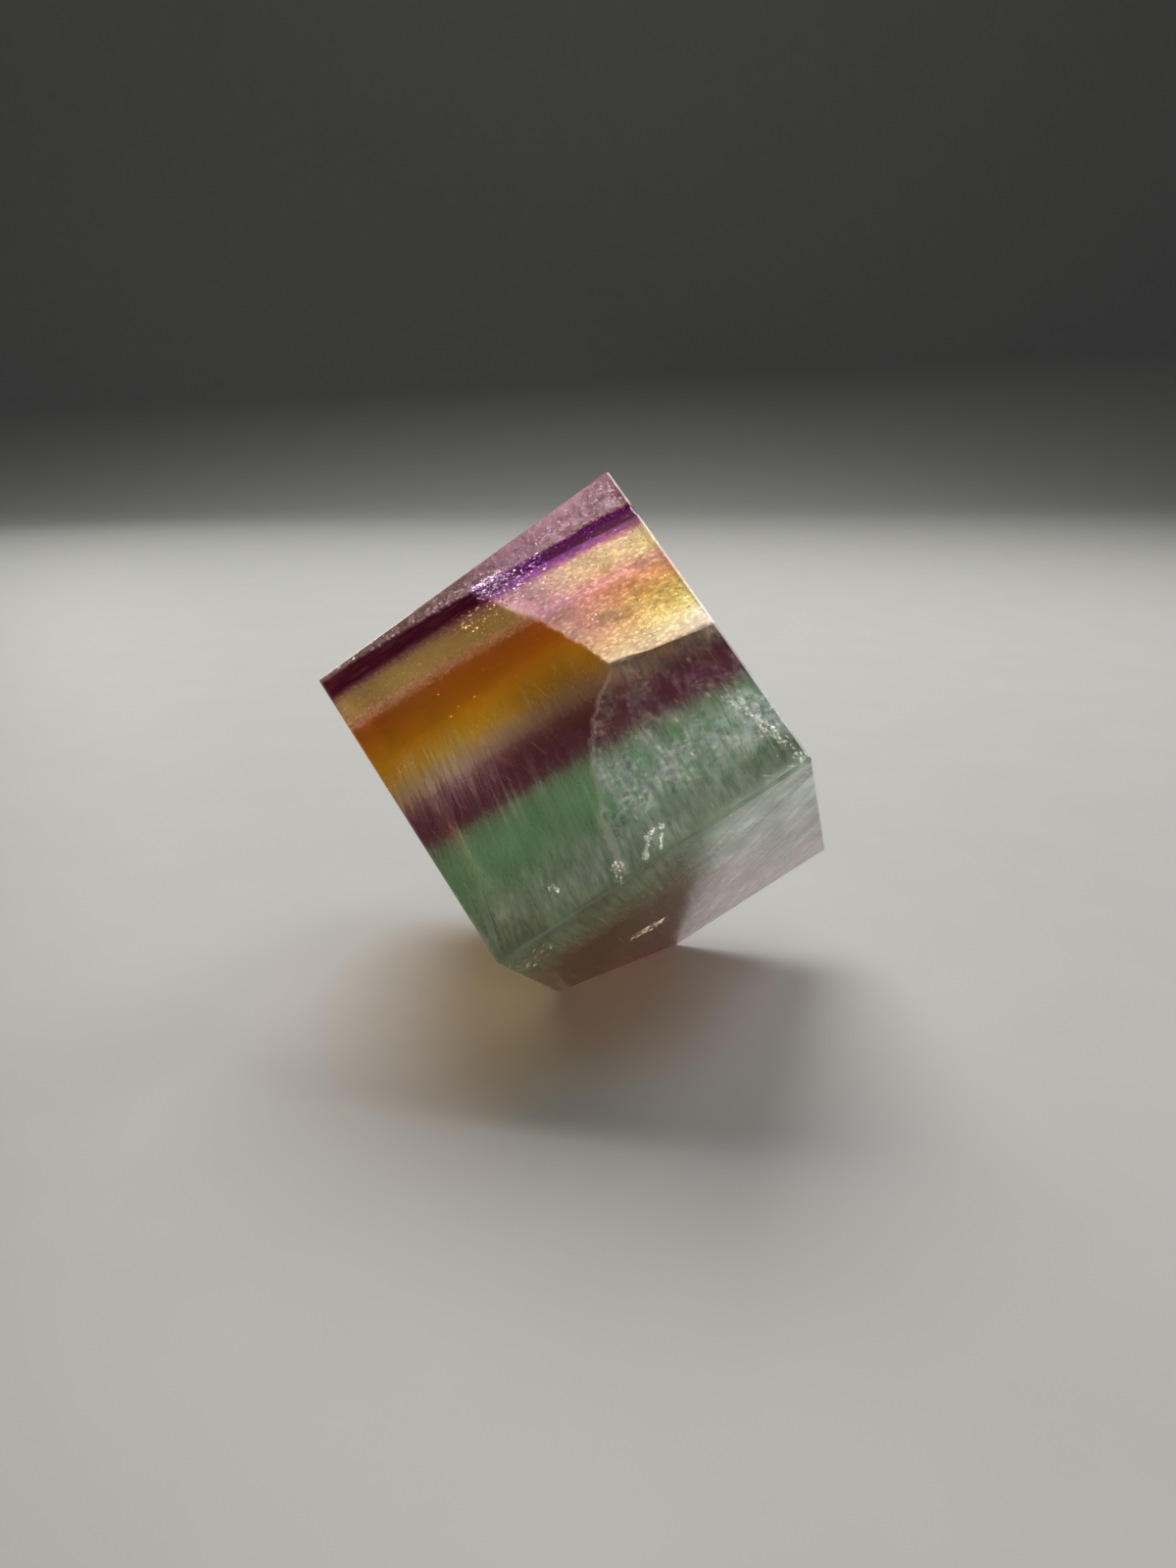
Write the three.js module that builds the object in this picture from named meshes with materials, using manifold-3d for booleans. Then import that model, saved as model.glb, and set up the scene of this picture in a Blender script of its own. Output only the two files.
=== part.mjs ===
// A hand-ground cube of banded fluorite, standing on one corner that has been ground flat.
// Millimetres, +Z up. The origin is the middle of the flat that the cube rests on.
//
// The cube is shaped lying square in its own frame: X runs along its width, Y along its height and
// Z along its depth, with the origin in its middle. It is then tipped so that the ground corner
// lies flat on the ground.
import * as THREE from "three";
import { mergeVertices } from "three/addons/utils/BufferGeometryUtils.js";
import Module from "manifold-3d";

// Driving dimensions, in millimetres and degrees.
const width = 40.0;
const height = 41.1;
const depth = 40.2;
const bevelWidth = 0.35; // the polished line along each edge
const restCutWidth = 15.4; // how far the ground corner reaches back along each of its three edges
const restCutHeight = 12.9;
const restCutDepth = 15.55;
const standingTurn = -54.9; // turn about the vertical once it stands
const blank = 3 * width; // edge of the blocks that grind a face away

// Each face: the way it looks, its distance from the middle, and how far the grinding left it
// out of square, about the two other axes.
const faces = {
  front: { looks: [0, 0, -1], reach: depth / 2, lean: [0, 0, 0] },
  back: { looks: [0, 0, 1], reach: depth / 2, lean: [-0.65, -0.15, 0] },
  topRight: { looks: [1, 0, 0], reach: width / 2, lean: [0, 1.7, 0.25] },
  lowLeft: { looks: [-1, 0, 0], reach: width / 2, lean: [0, 1.6, -0.55] },
  lowRight: { looks: [0, 1, 0], reach: height / 2, lean: [-1.2, 0, -0.45] },
  topLeft: { looks: [0, -1, 0], reach: height / 2, lean: [-1.3, 0, 0.55] },
};

const opposite = { front: "back", topRight: "lowLeft", lowRight: "topLeft" };

// Corners that are worn blunt, and how deep.
const bluntCorners = [
  { at: ["front", "topLeft", "topRight"], deep: 0.3 },
  { at: ["front", "topLeft", "lowLeft"], deep: 0.15 },
  { at: ["front", "topRight", "lowRight"], deep: 0.45 },
  { at: ["front", "lowLeft", "lowRight"], deep: 0.2 },
  { at: ["back", "topLeft", "topRight"], deep: 0.25 },
  { at: ["back", "topRight", "lowRight"], deep: 0.15 },
  { at: ["back", "topLeft", "lowLeft"], deep: 0.35 },
];

// Small flakes lost along the edges: the two faces that meet, how far along the edge from its
// middle, the chip's length, and its turn about the edge.
const chips = [
  { edge: ["front", "lowRight"], along: -0.5, long: 2.2, turn: 20 },
  { edge: ["front", "lowRight"], along: -2.6, long: 1.3, turn: 75 },
  { edge: ["front", "lowRight"], along: 11.5, long: 0.9, turn: 40 },
  { edge: ["front", "topRight"], along: 15.6, long: 2.4, turn: 10 },
  { edge: ["front", "topRight"], along: 18.2, long: 1.2, turn: 55 },
  { edge: ["front", "topRight"], along: -9.5, long: 0.8, turn: 30 },
  { edge: ["front", "topLeft"], along: -17.0, long: 1.1, turn: 65 },
  { edge: ["front", "topLeft"], along: -7.0, long: 0.8, turn: 15 },
  { edge: ["front", "topLeft"], along: 9.0, long: 0.7, turn: 80 },
  { edge: ["front", "lowLeft"], along: 17.5, long: 1.4, turn: 35 },
  { edge: ["front", "lowLeft"], along: 3.0, long: 0.8, turn: 5 },
  { edge: ["topLeft", "topRight"], along: -4.0, long: 1.2, turn: 50 },
  { edge: ["topLeft", "topRight"], along: 13.0, long: 1.8, turn: 25 },
  { edge: ["back", "topLeft"], along: 6.0, long: 1.6, turn: 70 },
  { edge: ["back", "topLeft"], along: -13.0, long: 1.0, turn: 30 },
  { edge: ["back", "topRight"], along: -5.0, long: 1.3, turn: 45 },
  { edge: ["topLeft", "lowLeft"], along: -10.0, long: 1.1, turn: 60 },
  { edge: ["topRight", "lowRight"], along: 9.0, long: 1.3, turn: 20 },
  { edge: ["rest", "lowRight"], along: 2.5, long: 1.6, turn: 15 },
  { edge: ["rest", "lowRight"], along: -2.0, long: 1.0, turn: 50 },
];
const chipBroad = 0.55; // of its length
const chipDeep = 0.3;

const wasm = await Module();
wasm.setup();

// A closed geometry as a solid that can be joined and cut.
function solidOf(geometry) {
  const bare = geometry.clone();
  bare.deleteAttribute("normal");
  bare.deleteAttribute("uv");
  const merged = mergeVertices(bare, 1e-4);
  return new wasm.Manifold(
    new wasm.Mesh({
      numProp: 3,
      vertProperties: new Float32Array(merged.attributes.position.array),
      triVerts: new Uint32Array(merged.index.array),
    }),
  );
}

function geometryOf(solid) {
  const mesh = solid.getMesh();
  const geometry = new THREE.BufferGeometry();
  geometry.setAttribute("position", new THREE.BufferAttribute(mesh.vertProperties, 3));
  geometry.setIndex(new THREE.BufferAttribute(mesh.triVerts, 1));
  const flat = geometry.toNonIndexed();
  flat.computeVertexNormals();
  return flat;
}

// The plane of a face, as three.js has it: normal . point + constant = 0, normal outwards.
function planeOf(face) {
  const normal = new THREE.Vector3(...face.looks);
  const lean = new THREE.Vector3(...face.lean);
  normal.addScaledVector(lean, THREE.MathUtils.DEG2RAD).normalize();
  return new THREE.Plane(normal, -face.reach);
}

const planes = Object.fromEntries(
  Object.entries(faces).map(([name, face]) => [name, planeOf(face)]),
);

// The ground corner is the one at the low left, low right and back. Its flat crosses the three
// edges there at the stated lengths.
const groundCorner = new THREE.Vector3(-width / 2, height / 2, depth / 2);
planes.rest = new THREE.Plane().setFromCoplanarPoints(
  groundCorner.clone().add(new THREE.Vector3(restCutWidth, 0, 0)),
  groundCorner.clone().add(new THREE.Vector3(0, 0, -restCutDepth)),
  groundCorner.clone().add(new THREE.Vector3(0, -restCutHeight, 0)),
);
if (planes.rest.distanceToPoint(groundCorner) < 0) {
  planes.rest.negate();
}

// The point where three faces meet.
function meeting(names) {
  const [a, b, c] = names.map((name) => planes[name]);
  const bc = new THREE.Vector3().crossVectors(b.normal, c.normal);
  const ca = new THREE.Vector3().crossVectors(c.normal, a.normal);
  const ab = new THREE.Vector3().crossVectors(a.normal, b.normal);
  const scale = -1 / a.normal.dot(bc);
  return bc
    .multiplyScalar(a.constant)
    .addScaledVector(ca, b.constant)
    .addScaledVector(ab, c.constant)
    .multiplyScalar(scale);
}

// Everything on the outer side of a plane, as one large block whose inner face lies on it.
function outside(plane) {
  const block = new THREE.BoxGeometry(blank, blank, blank);
  block.translate(0, 0, blank / 2);
  const towards = new THREE.Quaternion().setFromUnitVectors(
    new THREE.Vector3(0, 0, 1),
    plane.normal,
  );
  block.applyQuaternion(towards);
  block.translate(...plane.normal.clone().multiplyScalar(-plane.constant));
  return solidOf(block);
}

// The plane that takes the edge or corner between faces away, down to a depth below it.
function planeAcross(names, deep) {
  const normal = new THREE.Vector3();
  for (const name of names) {
    normal.add(planes[name].normal);
  }
  normal.normalize();
  const foot = names.length === 3 ? meeting(names) : footOfEdge(names);
  return new THREE.Plane(normal, deep - normal.dot(foot));
}

// The point of the edge between two faces that is nearest to the cube's middle.
function footOfEdge([first, second]) {
  const a = planes[first];
  const b = planes[second];
  const cosine = a.normal.dot(b.normal);
  const share = 1 / (1 - cosine * cosine);
  const alongA = (-a.constant + b.constant * cosine) * share;
  const alongB = (-b.constant + a.constant * cosine) * share;
  return a.normal.clone().multiplyScalar(alongA).addScaledVector(b.normal, alongB);
}

// How deep a bevel of the stated width cuts below the edge of two faces.
function bevelDepth([first, second]) {
  const between = planes[first].normal.angleTo(planes[second].normal);
  return (bevelWidth / 2) * Math.tan(between / 2);
}

// The pairs of faces that meet in an edge.
function edges() {
  const names = Object.keys(faces);
  const pairs = [];
  names.forEach((first, i) => {
    for (const second of names.slice(i + 1)) {
      const facing = opposite[first] === second || opposite[second] === first;
      if (!facing) {
        pairs.push([first, second]);
      }
    }
  });
  for (const name of ["lowLeft", "lowRight", "back"]) {
    pairs.push(["rest", name]);
  }
  return pairs;
}

// A flake lost from an edge: an angular scoop with its length along the edge.
function chipSolid({ edge, along, long, turn }) {
  const outwards = new THREE.Vector3();
  for (const name of edge) {
    outwards.add(planes[name].normal);
  }
  outwards.normalize();
  const direction = new THREE.Vector3()
    .crossVectors(planes[edge[0]].normal, planes[edge[1]].normal)
    .normalize();
  const across = new THREE.Vector3().crossVectors(outwards, direction);
  const geometry = new THREE.IcosahedronGeometry(0.5, 1);
  geometry.rotateX(THREE.MathUtils.degToRad(turn));
  geometry.scale(long, long * chipBroad, long * chipDeep * 2);
  geometry.applyMatrix4(new THREE.Matrix4().makeBasis(direction, across, outwards));
  const rest = edge.includes("rest");
  const foot = rest ? meeting([...edge, "back"]) : footOfEdge(edge);
  if (rest) {
    foot.lerp(meeting([...edge, "lowLeft"]), 0.5);
  }
  foot.addScaledVector(direction, along);
  foot.addScaledVector(outwards, long * chipDeep * 0.45);
  geometry.translate(...foot);
  return solidOf(geometry);
}

function cubeSolid() {
  let cube = solidOf(new THREE.BoxGeometry(1.5 * width, 1.5 * height, 1.5 * depth));
  for (const plane of Object.values(planes)) {
    cube = cube.subtract(outside(plane));
  }
  for (const pair of edges()) {
    cube = cube.subtract(outside(planeAcross(pair, bevelDepth(pair))));
  }
  for (const { at, deep } of bluntCorners) {
    cube = cube.subtract(outside(planeAcross(at, deep)));
  }
  for (const chip of chips) {
    cube = cube.subtract(chipSolid(chip));
  }
  return cube;
}

// The turn that lays the ground corner flat, and the middle of that flat.
function standing() {
  const tip = new THREE.Quaternion().setFromUnitVectors(
    planes.rest.normal,
    new THREE.Vector3(0, 0, -1),
  );
  const turn = new THREE.Quaternion().setFromAxisAngle(
    new THREE.Vector3(0, 0, 1),
    THREE.MathUtils.degToRad(standingTurn),
  );
  return turn.multiply(tip);
}

function middleOfRest() {
  return new THREE.Vector3()
    .add(meeting(["rest", "lowLeft", "lowRight"]))
    .add(meeting(["rest", "lowRight", "back"]))
    .add(meeting(["rest", "lowLeft", "back"]))
    .divideScalar(3);
}

const fluorite = new THREE.MeshStandardMaterial({
  color: 0x8a6f86,
  roughness: 0.12,
  metalness: 0,
});

const cube = new THREE.Mesh(geometryOf(cubeSolid()), fluorite);
cube.name = "fluorite_cube";
cube.quaternion.copy(standing());
cube.position.copy(middleOfRest().applyQuaternion(cube.quaternion).negate());

const specimen = new THREE.Group();
specimen.add(cube);

export default specimen;
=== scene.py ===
"""A polished cube of banded fluorite that stands on one corner, ground flat."""
import functools
import math
import random
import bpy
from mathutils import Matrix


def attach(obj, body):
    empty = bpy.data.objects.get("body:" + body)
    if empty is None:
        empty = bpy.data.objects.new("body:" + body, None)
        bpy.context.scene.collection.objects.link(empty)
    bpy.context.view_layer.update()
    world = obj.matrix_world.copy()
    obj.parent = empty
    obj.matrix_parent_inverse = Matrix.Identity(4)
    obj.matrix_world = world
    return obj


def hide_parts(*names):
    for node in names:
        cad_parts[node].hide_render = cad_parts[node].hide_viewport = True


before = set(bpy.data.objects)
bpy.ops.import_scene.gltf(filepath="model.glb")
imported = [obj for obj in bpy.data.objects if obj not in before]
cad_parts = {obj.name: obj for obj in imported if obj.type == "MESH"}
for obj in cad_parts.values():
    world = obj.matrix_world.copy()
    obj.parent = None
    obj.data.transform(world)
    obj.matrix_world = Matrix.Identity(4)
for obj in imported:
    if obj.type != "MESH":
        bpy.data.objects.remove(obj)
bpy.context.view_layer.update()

from types import SimpleNamespace

import bmesh
import bpy
from mathutils import Matrix, Quaternion, Vector, noise

MM = 0.001

# The stone's own square frame: X along its width, Y along its height, Z along its depth, from the
# face that shows the bands best to the back. These are the sizes that the solid is ground to.
WIDTH, HEIGHT, DEPTH = 40.0 * MM, 41.1 * MM, 40.2 * MM
REST_CUT = Vector((15.4, 12.9, 15.55)) * MM
STANDING_TURN = math.radians(-54.9)
STONE_MIDDLE = Vector((0.525, -1.25, 26.57)) * MM
REFRACTION = 1.434


def stone_turn():
    """The turn that stands the square stone on its ground corner."""
    across_corner = Vector((-1 / REST_CUT.x, 1 / REST_CUT.y, 1 / REST_CUT.z)).normalized()
    tip = across_corner.rotation_difference(Vector((0, 0, -1)))
    return Quaternion((0, 0, 1), STANDING_TURN) @ tip


STONE_TURN = stone_turn()
STONE_PLACE = Matrix.Translation(STONE_MIDDLE) @ STONE_TURN.to_matrix().to_4x4()


def in_stone(across, down, depth):
    """A point of the stone's frame from its share across, its share down and its depth in metres."""
    return Vector(((across - 0.5) * WIDTH, (down - 0.5) * HEIGHT, depth - DEPTH / 2))


def share_between(value, low, high):
    """Where value lies from low to high, as 0 to 1."""
    return min(max((value - low) / (high - low), 0.0), 1.0)


# ---------------------------------------------------------------- camera and lamps

CAMERA_PLACE = Vector((-0.05, -144.2, 68.8)) * MM
CAMERA_DIP = math.radians(17.37)
CAMERA_ROLL = math.radians(0.43)
CAMERA_LENS = 27.39
SENSOR_LONG_SIDE = 36.0


def make_camera():
    """The camera that the stone is judged from."""
    data = bpy.data.cameras.new("camera")
    data.sensor_width = SENSOR_LONG_SIDE
    data.lens = CAMERA_LENS
    data.clip_start = 0.005
    camera = bpy.data.objects.new("camera", data)
    bpy.context.collection.objects.link(camera)
    look = Vector((0, math.cos(CAMERA_DIP), -math.sin(CAMERA_DIP)))
    turn = Quaternion(look, CAMERA_ROLL) @ look.to_track_quat("-Z", "Y")
    camera.matrix_world = Matrix.Translation(CAMERA_PLACE) @ turn.to_matrix().to_4x4()
    bpy.context.scene.camera = camera


# Each lamp's place and size in metres, its power in watts and its colour. All of them aim at the
# stone: a soft window high behind it, a box above it, two strips that draw its edges and a weak
# lamp in front that its flakes mirror.
LAMP_AIM = Vector((0, 0, 0.03))
LAMPS = {
    "window": ((-0.05, 0.42, 0.55), (0.5, 0.35), 4.5, (1.0, 0.98, 0.95)),
    "top_box": ((0.08, -0.06, 0.62), (0.34, 0.30), 0.30, (0.96, 0.98, 1.0)),
    "left_strip": ((-0.30, 0.56, 0.30), (0.08, 0.34), 0.25, (1.0, 0.98, 0.98)),
    "right_strip": ((0.31, 0.20, 0.39), (0.20, 0.30), 0.8, (1.0, 0.95, 0.98)),
    "low_fill": ((0.26, -0.30, 0.12), (0.20, 0.16), 0.34, (1.0, 0.91, 0.81)),
}
ROOM_COLOUR = (0.92, 0.96, 1.0, 1)
ROOM_STRENGTH = 0.06
# How many clear flakes and growth zones a sight line may pass.
CLEAR_LAYERS = 64


def make_lamp(name, place, size, power, colour):
    data = bpy.data.lights.new(name, "AREA")
    data.shape = "RECTANGLE"
    data.size, data.size_y = size
    data.energy = power
    data.color = colour
    lamp = bpy.data.objects.new(name, data)
    bpy.context.collection.objects.link(lamp)
    way = LAMP_AIM - Vector(place)
    lamp.matrix_world = Matrix.Translation(place) @ way.to_track_quat("-Z", "Y").to_matrix().to_4x4()
    lamp.visible_camera = False


def make_lights():
    for name, facts in LAMPS.items():
        make_lamp(name, *facts)
    world = bpy.data.worlds.new("studio")
    world.use_nodes = True
    back = world.node_tree.nodes["Background"]
    back.inputs["Color"].default_value = ROOM_COLOUR
    back.inputs["Strength"].default_value = ROOM_STRENGTH
    scene = bpy.context.scene
    scene.world = world
    scene.view_settings.view_transform = "Standard"
    scene.cycles.transparent_max_bounces = CLEAR_LAYERS


# ---------------------------------------------------------------- shader helpers


class Net:
    """Adds nodes to one node tree, feeding each input with a socket or a plain value."""

    def __init__(self, tree):
        self.tree = tree

    def feed(self, socket, value):
        if isinstance(value, bpy.types.NodeSocket):
            self.tree.links.new(value, socket)
        elif socket.type == "RGBA" and len(value) == 3:
            socket.default_value = (*value, 1)
        else:
            socket.default_value = value

    def feed_all(self, sockets, values):
        for key, value in dict(values).items():
            self.feed(sockets[key], value)

    def add(self, kind, inputs=(), **settings):
        made = self.tree.nodes.new(kind)
        for name, value in settings.items():
            setattr(made, name, value)
        self.feed_all(made.inputs, inputs)
        return made

    def group(self, tree):
        """The outputs of a node group."""
        return self.add("ShaderNodeGroup", node_tree=tree).outputs

    def math(self, operation, *values, clamp=False):
        inputs = dict(enumerate(values))
        return self.add("ShaderNodeMath", inputs, operation=operation, use_clamp=clamp).outputs[0]

    def times(self, *values):
        """The product of values, each of which may be a tuple of what between() takes."""
        values = [self.between(*value) if isinstance(value, tuple) else value for value in values]
        return functools.reduce(lambda first, second: self.math("MULTIPLY", first, second), values)

    def plus(self, first, second):
        return self.math("ADD", first, second)

    def less(self, first, second):
        return self.math("SUBTRACT", first, second)

    def line(self, value, slope, start):
        """value times slope, plus start."""
        return self.math("MULTIPLY_ADD", value, slope, start)

    def apart(self, first, second):
        """How far two values lie from each other."""
        return self.math("ABSOLUTE", self.less(first, second))

    def vector(self, operation, first, second):
        return self.add("ShaderNodeVectorMath", {0: first, 1: second}, operation=operation).outputs[0]

    def scale(self, colour, factor):
        """A colour made lighter or darker."""
        return self.add("ShaderNodeVectorMath", {0: colour, "Scale": factor}, operation="SCALE").outputs[0]

    def between(self, value, low, high, to_low=0.0, to_high=1.0):
        """Carries value from low..high over to to_low..to_high with a smooth start and end."""
        keys = {"Value": value, "From Min": low, "From Max": high, "To Min": to_low, "To Max": to_high}
        return self.add("ShaderNodeMapRange", keys, interpolation_type="SMOOTHSTEP").outputs[0]

    def window(self, value, rise, fall):
        """1 between two smooth edges of value and 0 outside them. Each edge is (where 0, where 1)."""
        return self.times((value, *rise), (value, *fall))

    def mix(self, factor, first, second):
        """A blend of two colours."""
        return self.add("ShaderNodeMix", {0: factor, 6: first, 7: second}, data_type="RGBA").outputs[2]

    def blend(self, factor, first, second):
        """A blend of two values."""
        return self.add("ShaderNodeMix", {0: factor, 2: first, 3: second}, data_type="FLOAT").outputs[0]

    def noise(self, place, scale, detail=2.0, roughness=0.5, distortion=0.0):
        keys = {
            "Vector": place,
            "Scale": scale,
            "Detail": detail,
            "Roughness": roughness,
            "Distortion": distortion,
        }
        return self.add("ShaderNodeTexNoise", keys).outputs["Fac"]

    def stretched_noise(self, place, stretch, detail=2.0, roughness=0.5, distortion=0.0):
        return self.noise(self.vector("MULTIPLY", place, stretch), 1.0, detail, roughness, distortion)

    def ramp(self, factor, stops):
        """A colour ramp. stops are (place, colour) or (place, value)."""
        made = self.add("ShaderNodeValToRGB", {"Fac": factor})
        band = made.color_ramp
        while len(band.elements) < len(stops):
            band.elements.new(0.5)
        for element, (place, colour) in zip(band.elements, stops):
            element.position = place
            element.color = (*colour, 1) if isinstance(colour, tuple) else (colour,) * 3 + (1,)
        return made.outputs["Color"]


def new_group(name):
    """The net of a new shader node group."""
    return Net(bpy.data.node_groups.new(name, "ShaderNodeTree"))


def finish_group(net, gives):
    """Ends a node group. gives maps each output's name to its kind and what feeds it."""
    for name, (kind, _) in gives.items():
        net.tree.interface.new_socket(name, in_out="OUTPUT", socket_type="NodeSocket" + kind)
    end = net.tree.nodes.new("NodeGroupOutput")
    net.feed_all(end.inputs, {name: value for name, (_, value) in gives.items()})
    return net.tree


# ---------------------------------------------------------------- the growth bands

# How the bands lie in the stone, in shares of its size: they dip towards the back, and from the left
# edge of the front face to the right one they lean and bow downwards.
BAND_DIP = 0.27
BAND_LEAN = 0.030
BAND_BOW = 0.065
BAND_FIRST, BAND_LAST = -0.25, 1.45
BAND_REACH = BAND_LAST - BAND_FIRST

# Where each colour lies, from the top left face downwards, as a share of the stone's height.
BANDS = [
    (-0.250, (0.98, 0.78, 0.86)),
    (0.018, (0.98, 0.78, 0.86)),
    (0.024, (0.080, 0.0, 0.030)),
    (0.066, (0.095, 0.0, 0.050)),
    (0.080, (0.46, 0.20, 0.26)),
    (0.096, (1.00, 0.80, 0.40)),
    (0.150, (1.00, 0.76, 0.31)),
    (0.172, (0.92, 0.60, 0.42)),
    (0.194, (0.80, 0.36, 0.26)),
    (0.206, (0.60, 0.15, 0.02)),
    (0.245, (0.68, 0.24, 0.010)),
    (0.320, (0.78, 0.42, 0.012)),
    (0.380, (0.76, 0.46, 0.04)),
    (0.430, (0.66, 0.48, 0.24)),
    (0.465, (0.40, 0.25, 0.20)),
    (0.515, (0.21, 0.060, 0.080)),
    (0.575, (0.19, 0.050, 0.085)),
    (0.612, (0.21, 0.11, 0.11)),
    (0.652, (0.23, 0.30, 0.18)),
    (0.710, (0.22, 0.42, 0.22)),
    (0.780, (0.20, 0.40, 0.20)),
    (0.860, (0.18, 0.25, 0.15)),
    (0.960, (0.20, 0.22, 0.16)),
    (1.040, (0.22, 0.26, 0.18)),
    (1.090, (0.60, 0.54, 0.57)),
    (1.180, (0.58, 0.44, 0.53)),
    (1.270, (0.54, 0.38, 0.48)),
    (1.400, (0.36, 0.32, 0.32)),
]

# How milky each band is, and what the milk's own colour is there.
MILK = [
    (-0.250, 0.60),
    (0.018, 0.75),
    (0.023, 0.0),
    (0.068, 0.0),
    (0.080, 0.50),
    (0.100, 0.17),
    (0.160, 0.20),
    (0.186, 0.55),
    (0.204, 0.30),
    (0.214, 0.02),
    (0.340, 0.05),
    (0.420, 0.40),
    (0.475, 0.42),
    (0.530, 0.14),
    (0.605, 0.12),
    (0.665, 0.34),
    (0.800, 0.38),
    (0.880, 0.60),
    (0.980, 0.70),
    (1.070, 0.60),
    (1.150, 0.65),
    (1.250, 0.35),
    (1.400, 0.50),
]
MILK_COLOURS = [
    (-0.25, (0.86, 0.72, 0.82)),
    (0.060, (0.86, 0.72, 0.82)),
    (0.110, (0.95, 0.74, 0.46)),
    (0.190, (0.80, 0.52, 0.46)),
    (0.300, (0.80, 0.56, 0.18)),
    (0.450, (0.70, 0.60, 0.42)),
    (0.590, (0.46, 0.36, 0.38)),
    (0.670, (0.46, 0.55, 0.44)),
    (0.900, (0.56, 0.62, 0.53)),
    (1.060, (0.50, 0.58, 0.50)),
    (1.120, (0.74, 0.64, 0.72)),
    (1.400, (0.70, 0.62, 0.68)),
]


# The olive and brown that fill the lowest bands on the left of an edge, which runs to the back: painted
# shade and reflection, for the floor's shadow and the maroon and amber bands that the lower face mirrors
# there.
REFLECTED_SHADE_COLOURS = [
    (0.970, (0.34, 0.40, 0.26)),
    (1.060, (0.24, 0.26, 0.13)),
    (1.100, (0.12, 0.075, 0.040)),
    (1.180, (0.11, 0.050, 0.035)),
    (1.250, (0.13, 0.035, 0.050)),
    (1.450, (0.12, 0.060, 0.045)),
]
REFLECTED_SHADE_EDGE, REFLECTED_SHADE_TURN = 0.72, -0.34

# The growth colours as the open crack shows them, paler and brighter than the stone around it.
CRACK_BANDS = [
    (-0.250, (0.74, 0.58, 0.70)),
    (0.018, (0.60, 0.40, 0.66)),
    (0.026, (0.13, 0.0, 0.24)),
    (0.044, (0.20, 0.01, 0.34)),
    (0.053, (0.32, 0.12, 0.34)),
    (0.066, (0.68, 0.52, 0.50)),
    (0.080, (0.94, 0.88, 0.56)),
    (0.140, (1.00, 0.92, 0.54)),
    (0.165, (0.90, 0.68, 0.44)),
    (0.195, (1.00, 0.64, 0.54)),
    (0.235, (0.92, 0.62, 0.40)),
    (0.290, (0.86, 0.70, 0.33)),
    (0.350, (1.00, 0.93, 0.54)),
    (0.400, (1.00, 1.00, 0.92)),
    (0.450, (0.86, 0.78, 0.72)),
    (0.500, (0.30, 0.10, 0.20)),
    (0.590, (0.30, 0.15, 0.23)),
    (0.650, (0.58, 0.80, 0.70)),
    (1.400, (0.80, 0.96, 0.90)),
]


def band_down(level, across, back):
    """How far down the stone a band level lies, all in shares."""
    return level + (BAND_LEAN + BAND_BOW * across) * across - BAND_DIP * back


def along_bands(stops):
    """Moves stops from band levels to the places of a colour ramp."""
    return [((level - BAND_FIRST) / (BAND_LAST - BAND_FIRST), colour) for level, colour in stops]


def stone_point_group():
    """Gives the point in the stone's square frame, in millimetres from its middle."""
    net = new_group("stone_point")
    keys = {
        "Vector": net.add("ShaderNodeTexCoord").outputs["Object"],
        "Location": STONE_MIDDLE,
        "Rotation": STONE_TURN.to_euler(),
        "Scale": (MM, MM, MM),
    }
    point = net.add("ShaderNodeMapping", keys, vector_type="TEXTURE").outputs["Vector"]
    return finish_group(net, {"Point": ("Vector", point)})


# How far threads lean across the stone, per length, and how the fibres of the lowest bands lie.
THREAD_LEAN = 0.16
FIBRE_TURN = (0, math.radians(-42), 0)
FIBRE_STRETCH = (0.10, 0.4, 0.70)


def slantwise(net, point):
    """The point, turned and stretched as the fibres of the lowest bands lie."""
    turned = net.add("ShaderNodeMapping", {"Vector": point, "Rotation": FIBRE_TURN}).outputs[0]
    return net.vector("MULTIPLY", turned, FIBRE_STRETCH)


# The colours of the single marks that the bands hold.
PALE_STRAND = (0.80, 0.72, 0.60)
DARK_GAP = (0.06, 0.075, 0.05)
MILKY_CLUMP = (0.74, 0.84, 0.78)
BEIGE_THREAD = (0.84, 0.80, 0.76)
DEEP_PLUM = (0.22, 0.010, 0.15)
DUSKY_BROWN = (0.20, 0.085, 0.035)
BROWN_FLECK = (0.34, 0.12, 0.14)
DIM_TOP = (0.40, 0.26, 0.26)
FROST = (1.0, 0.94, 0.98)
PURPLE_STREAK = (0.42, 0.10, 0.26)
# The straw band's painted glint.
STRAW_PAINTED_GLINT = (1.0, 0.96, 0.76)
VIOLET_FRINGE = (0.40, 0.14, 0.72)
ROSE, PALE_ROSE = (0.88, 0.54, 0.66), (0.92, 0.74, 0.84)
# The crack's painted flash.
PAINTED_FLASH = (1.0, 0.97, 0.86)
AQUA_CLOUD = (0.96, 1.0, 1.0)


def place_in_stone(net, stone_point):
    """Where the shaded point lies: in millimetres, as shares of the stone and as a band level."""
    point = net.group(stone_point)["Point"]
    split = net.add("ShaderNodeSeparateXYZ", {"Vector": point}).outputs
    at = SimpleNamespace(point=point, x=split["X"], y=split["Y"], z=split["Z"])
    at.across = net.line(at.x, MM / WIDTH, 0.5)
    at.down = net.line(at.y, MM / HEIGHT, 0.5)
    at.back = net.line(at.z, MM / DEPTH, 0.5)
    lean = net.line(at.across, -BAND_BOW, -BAND_LEAN)
    at.level = net.line(at.across, lean, net.line(at.back, BAND_DIP, at.down))
    return at


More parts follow.
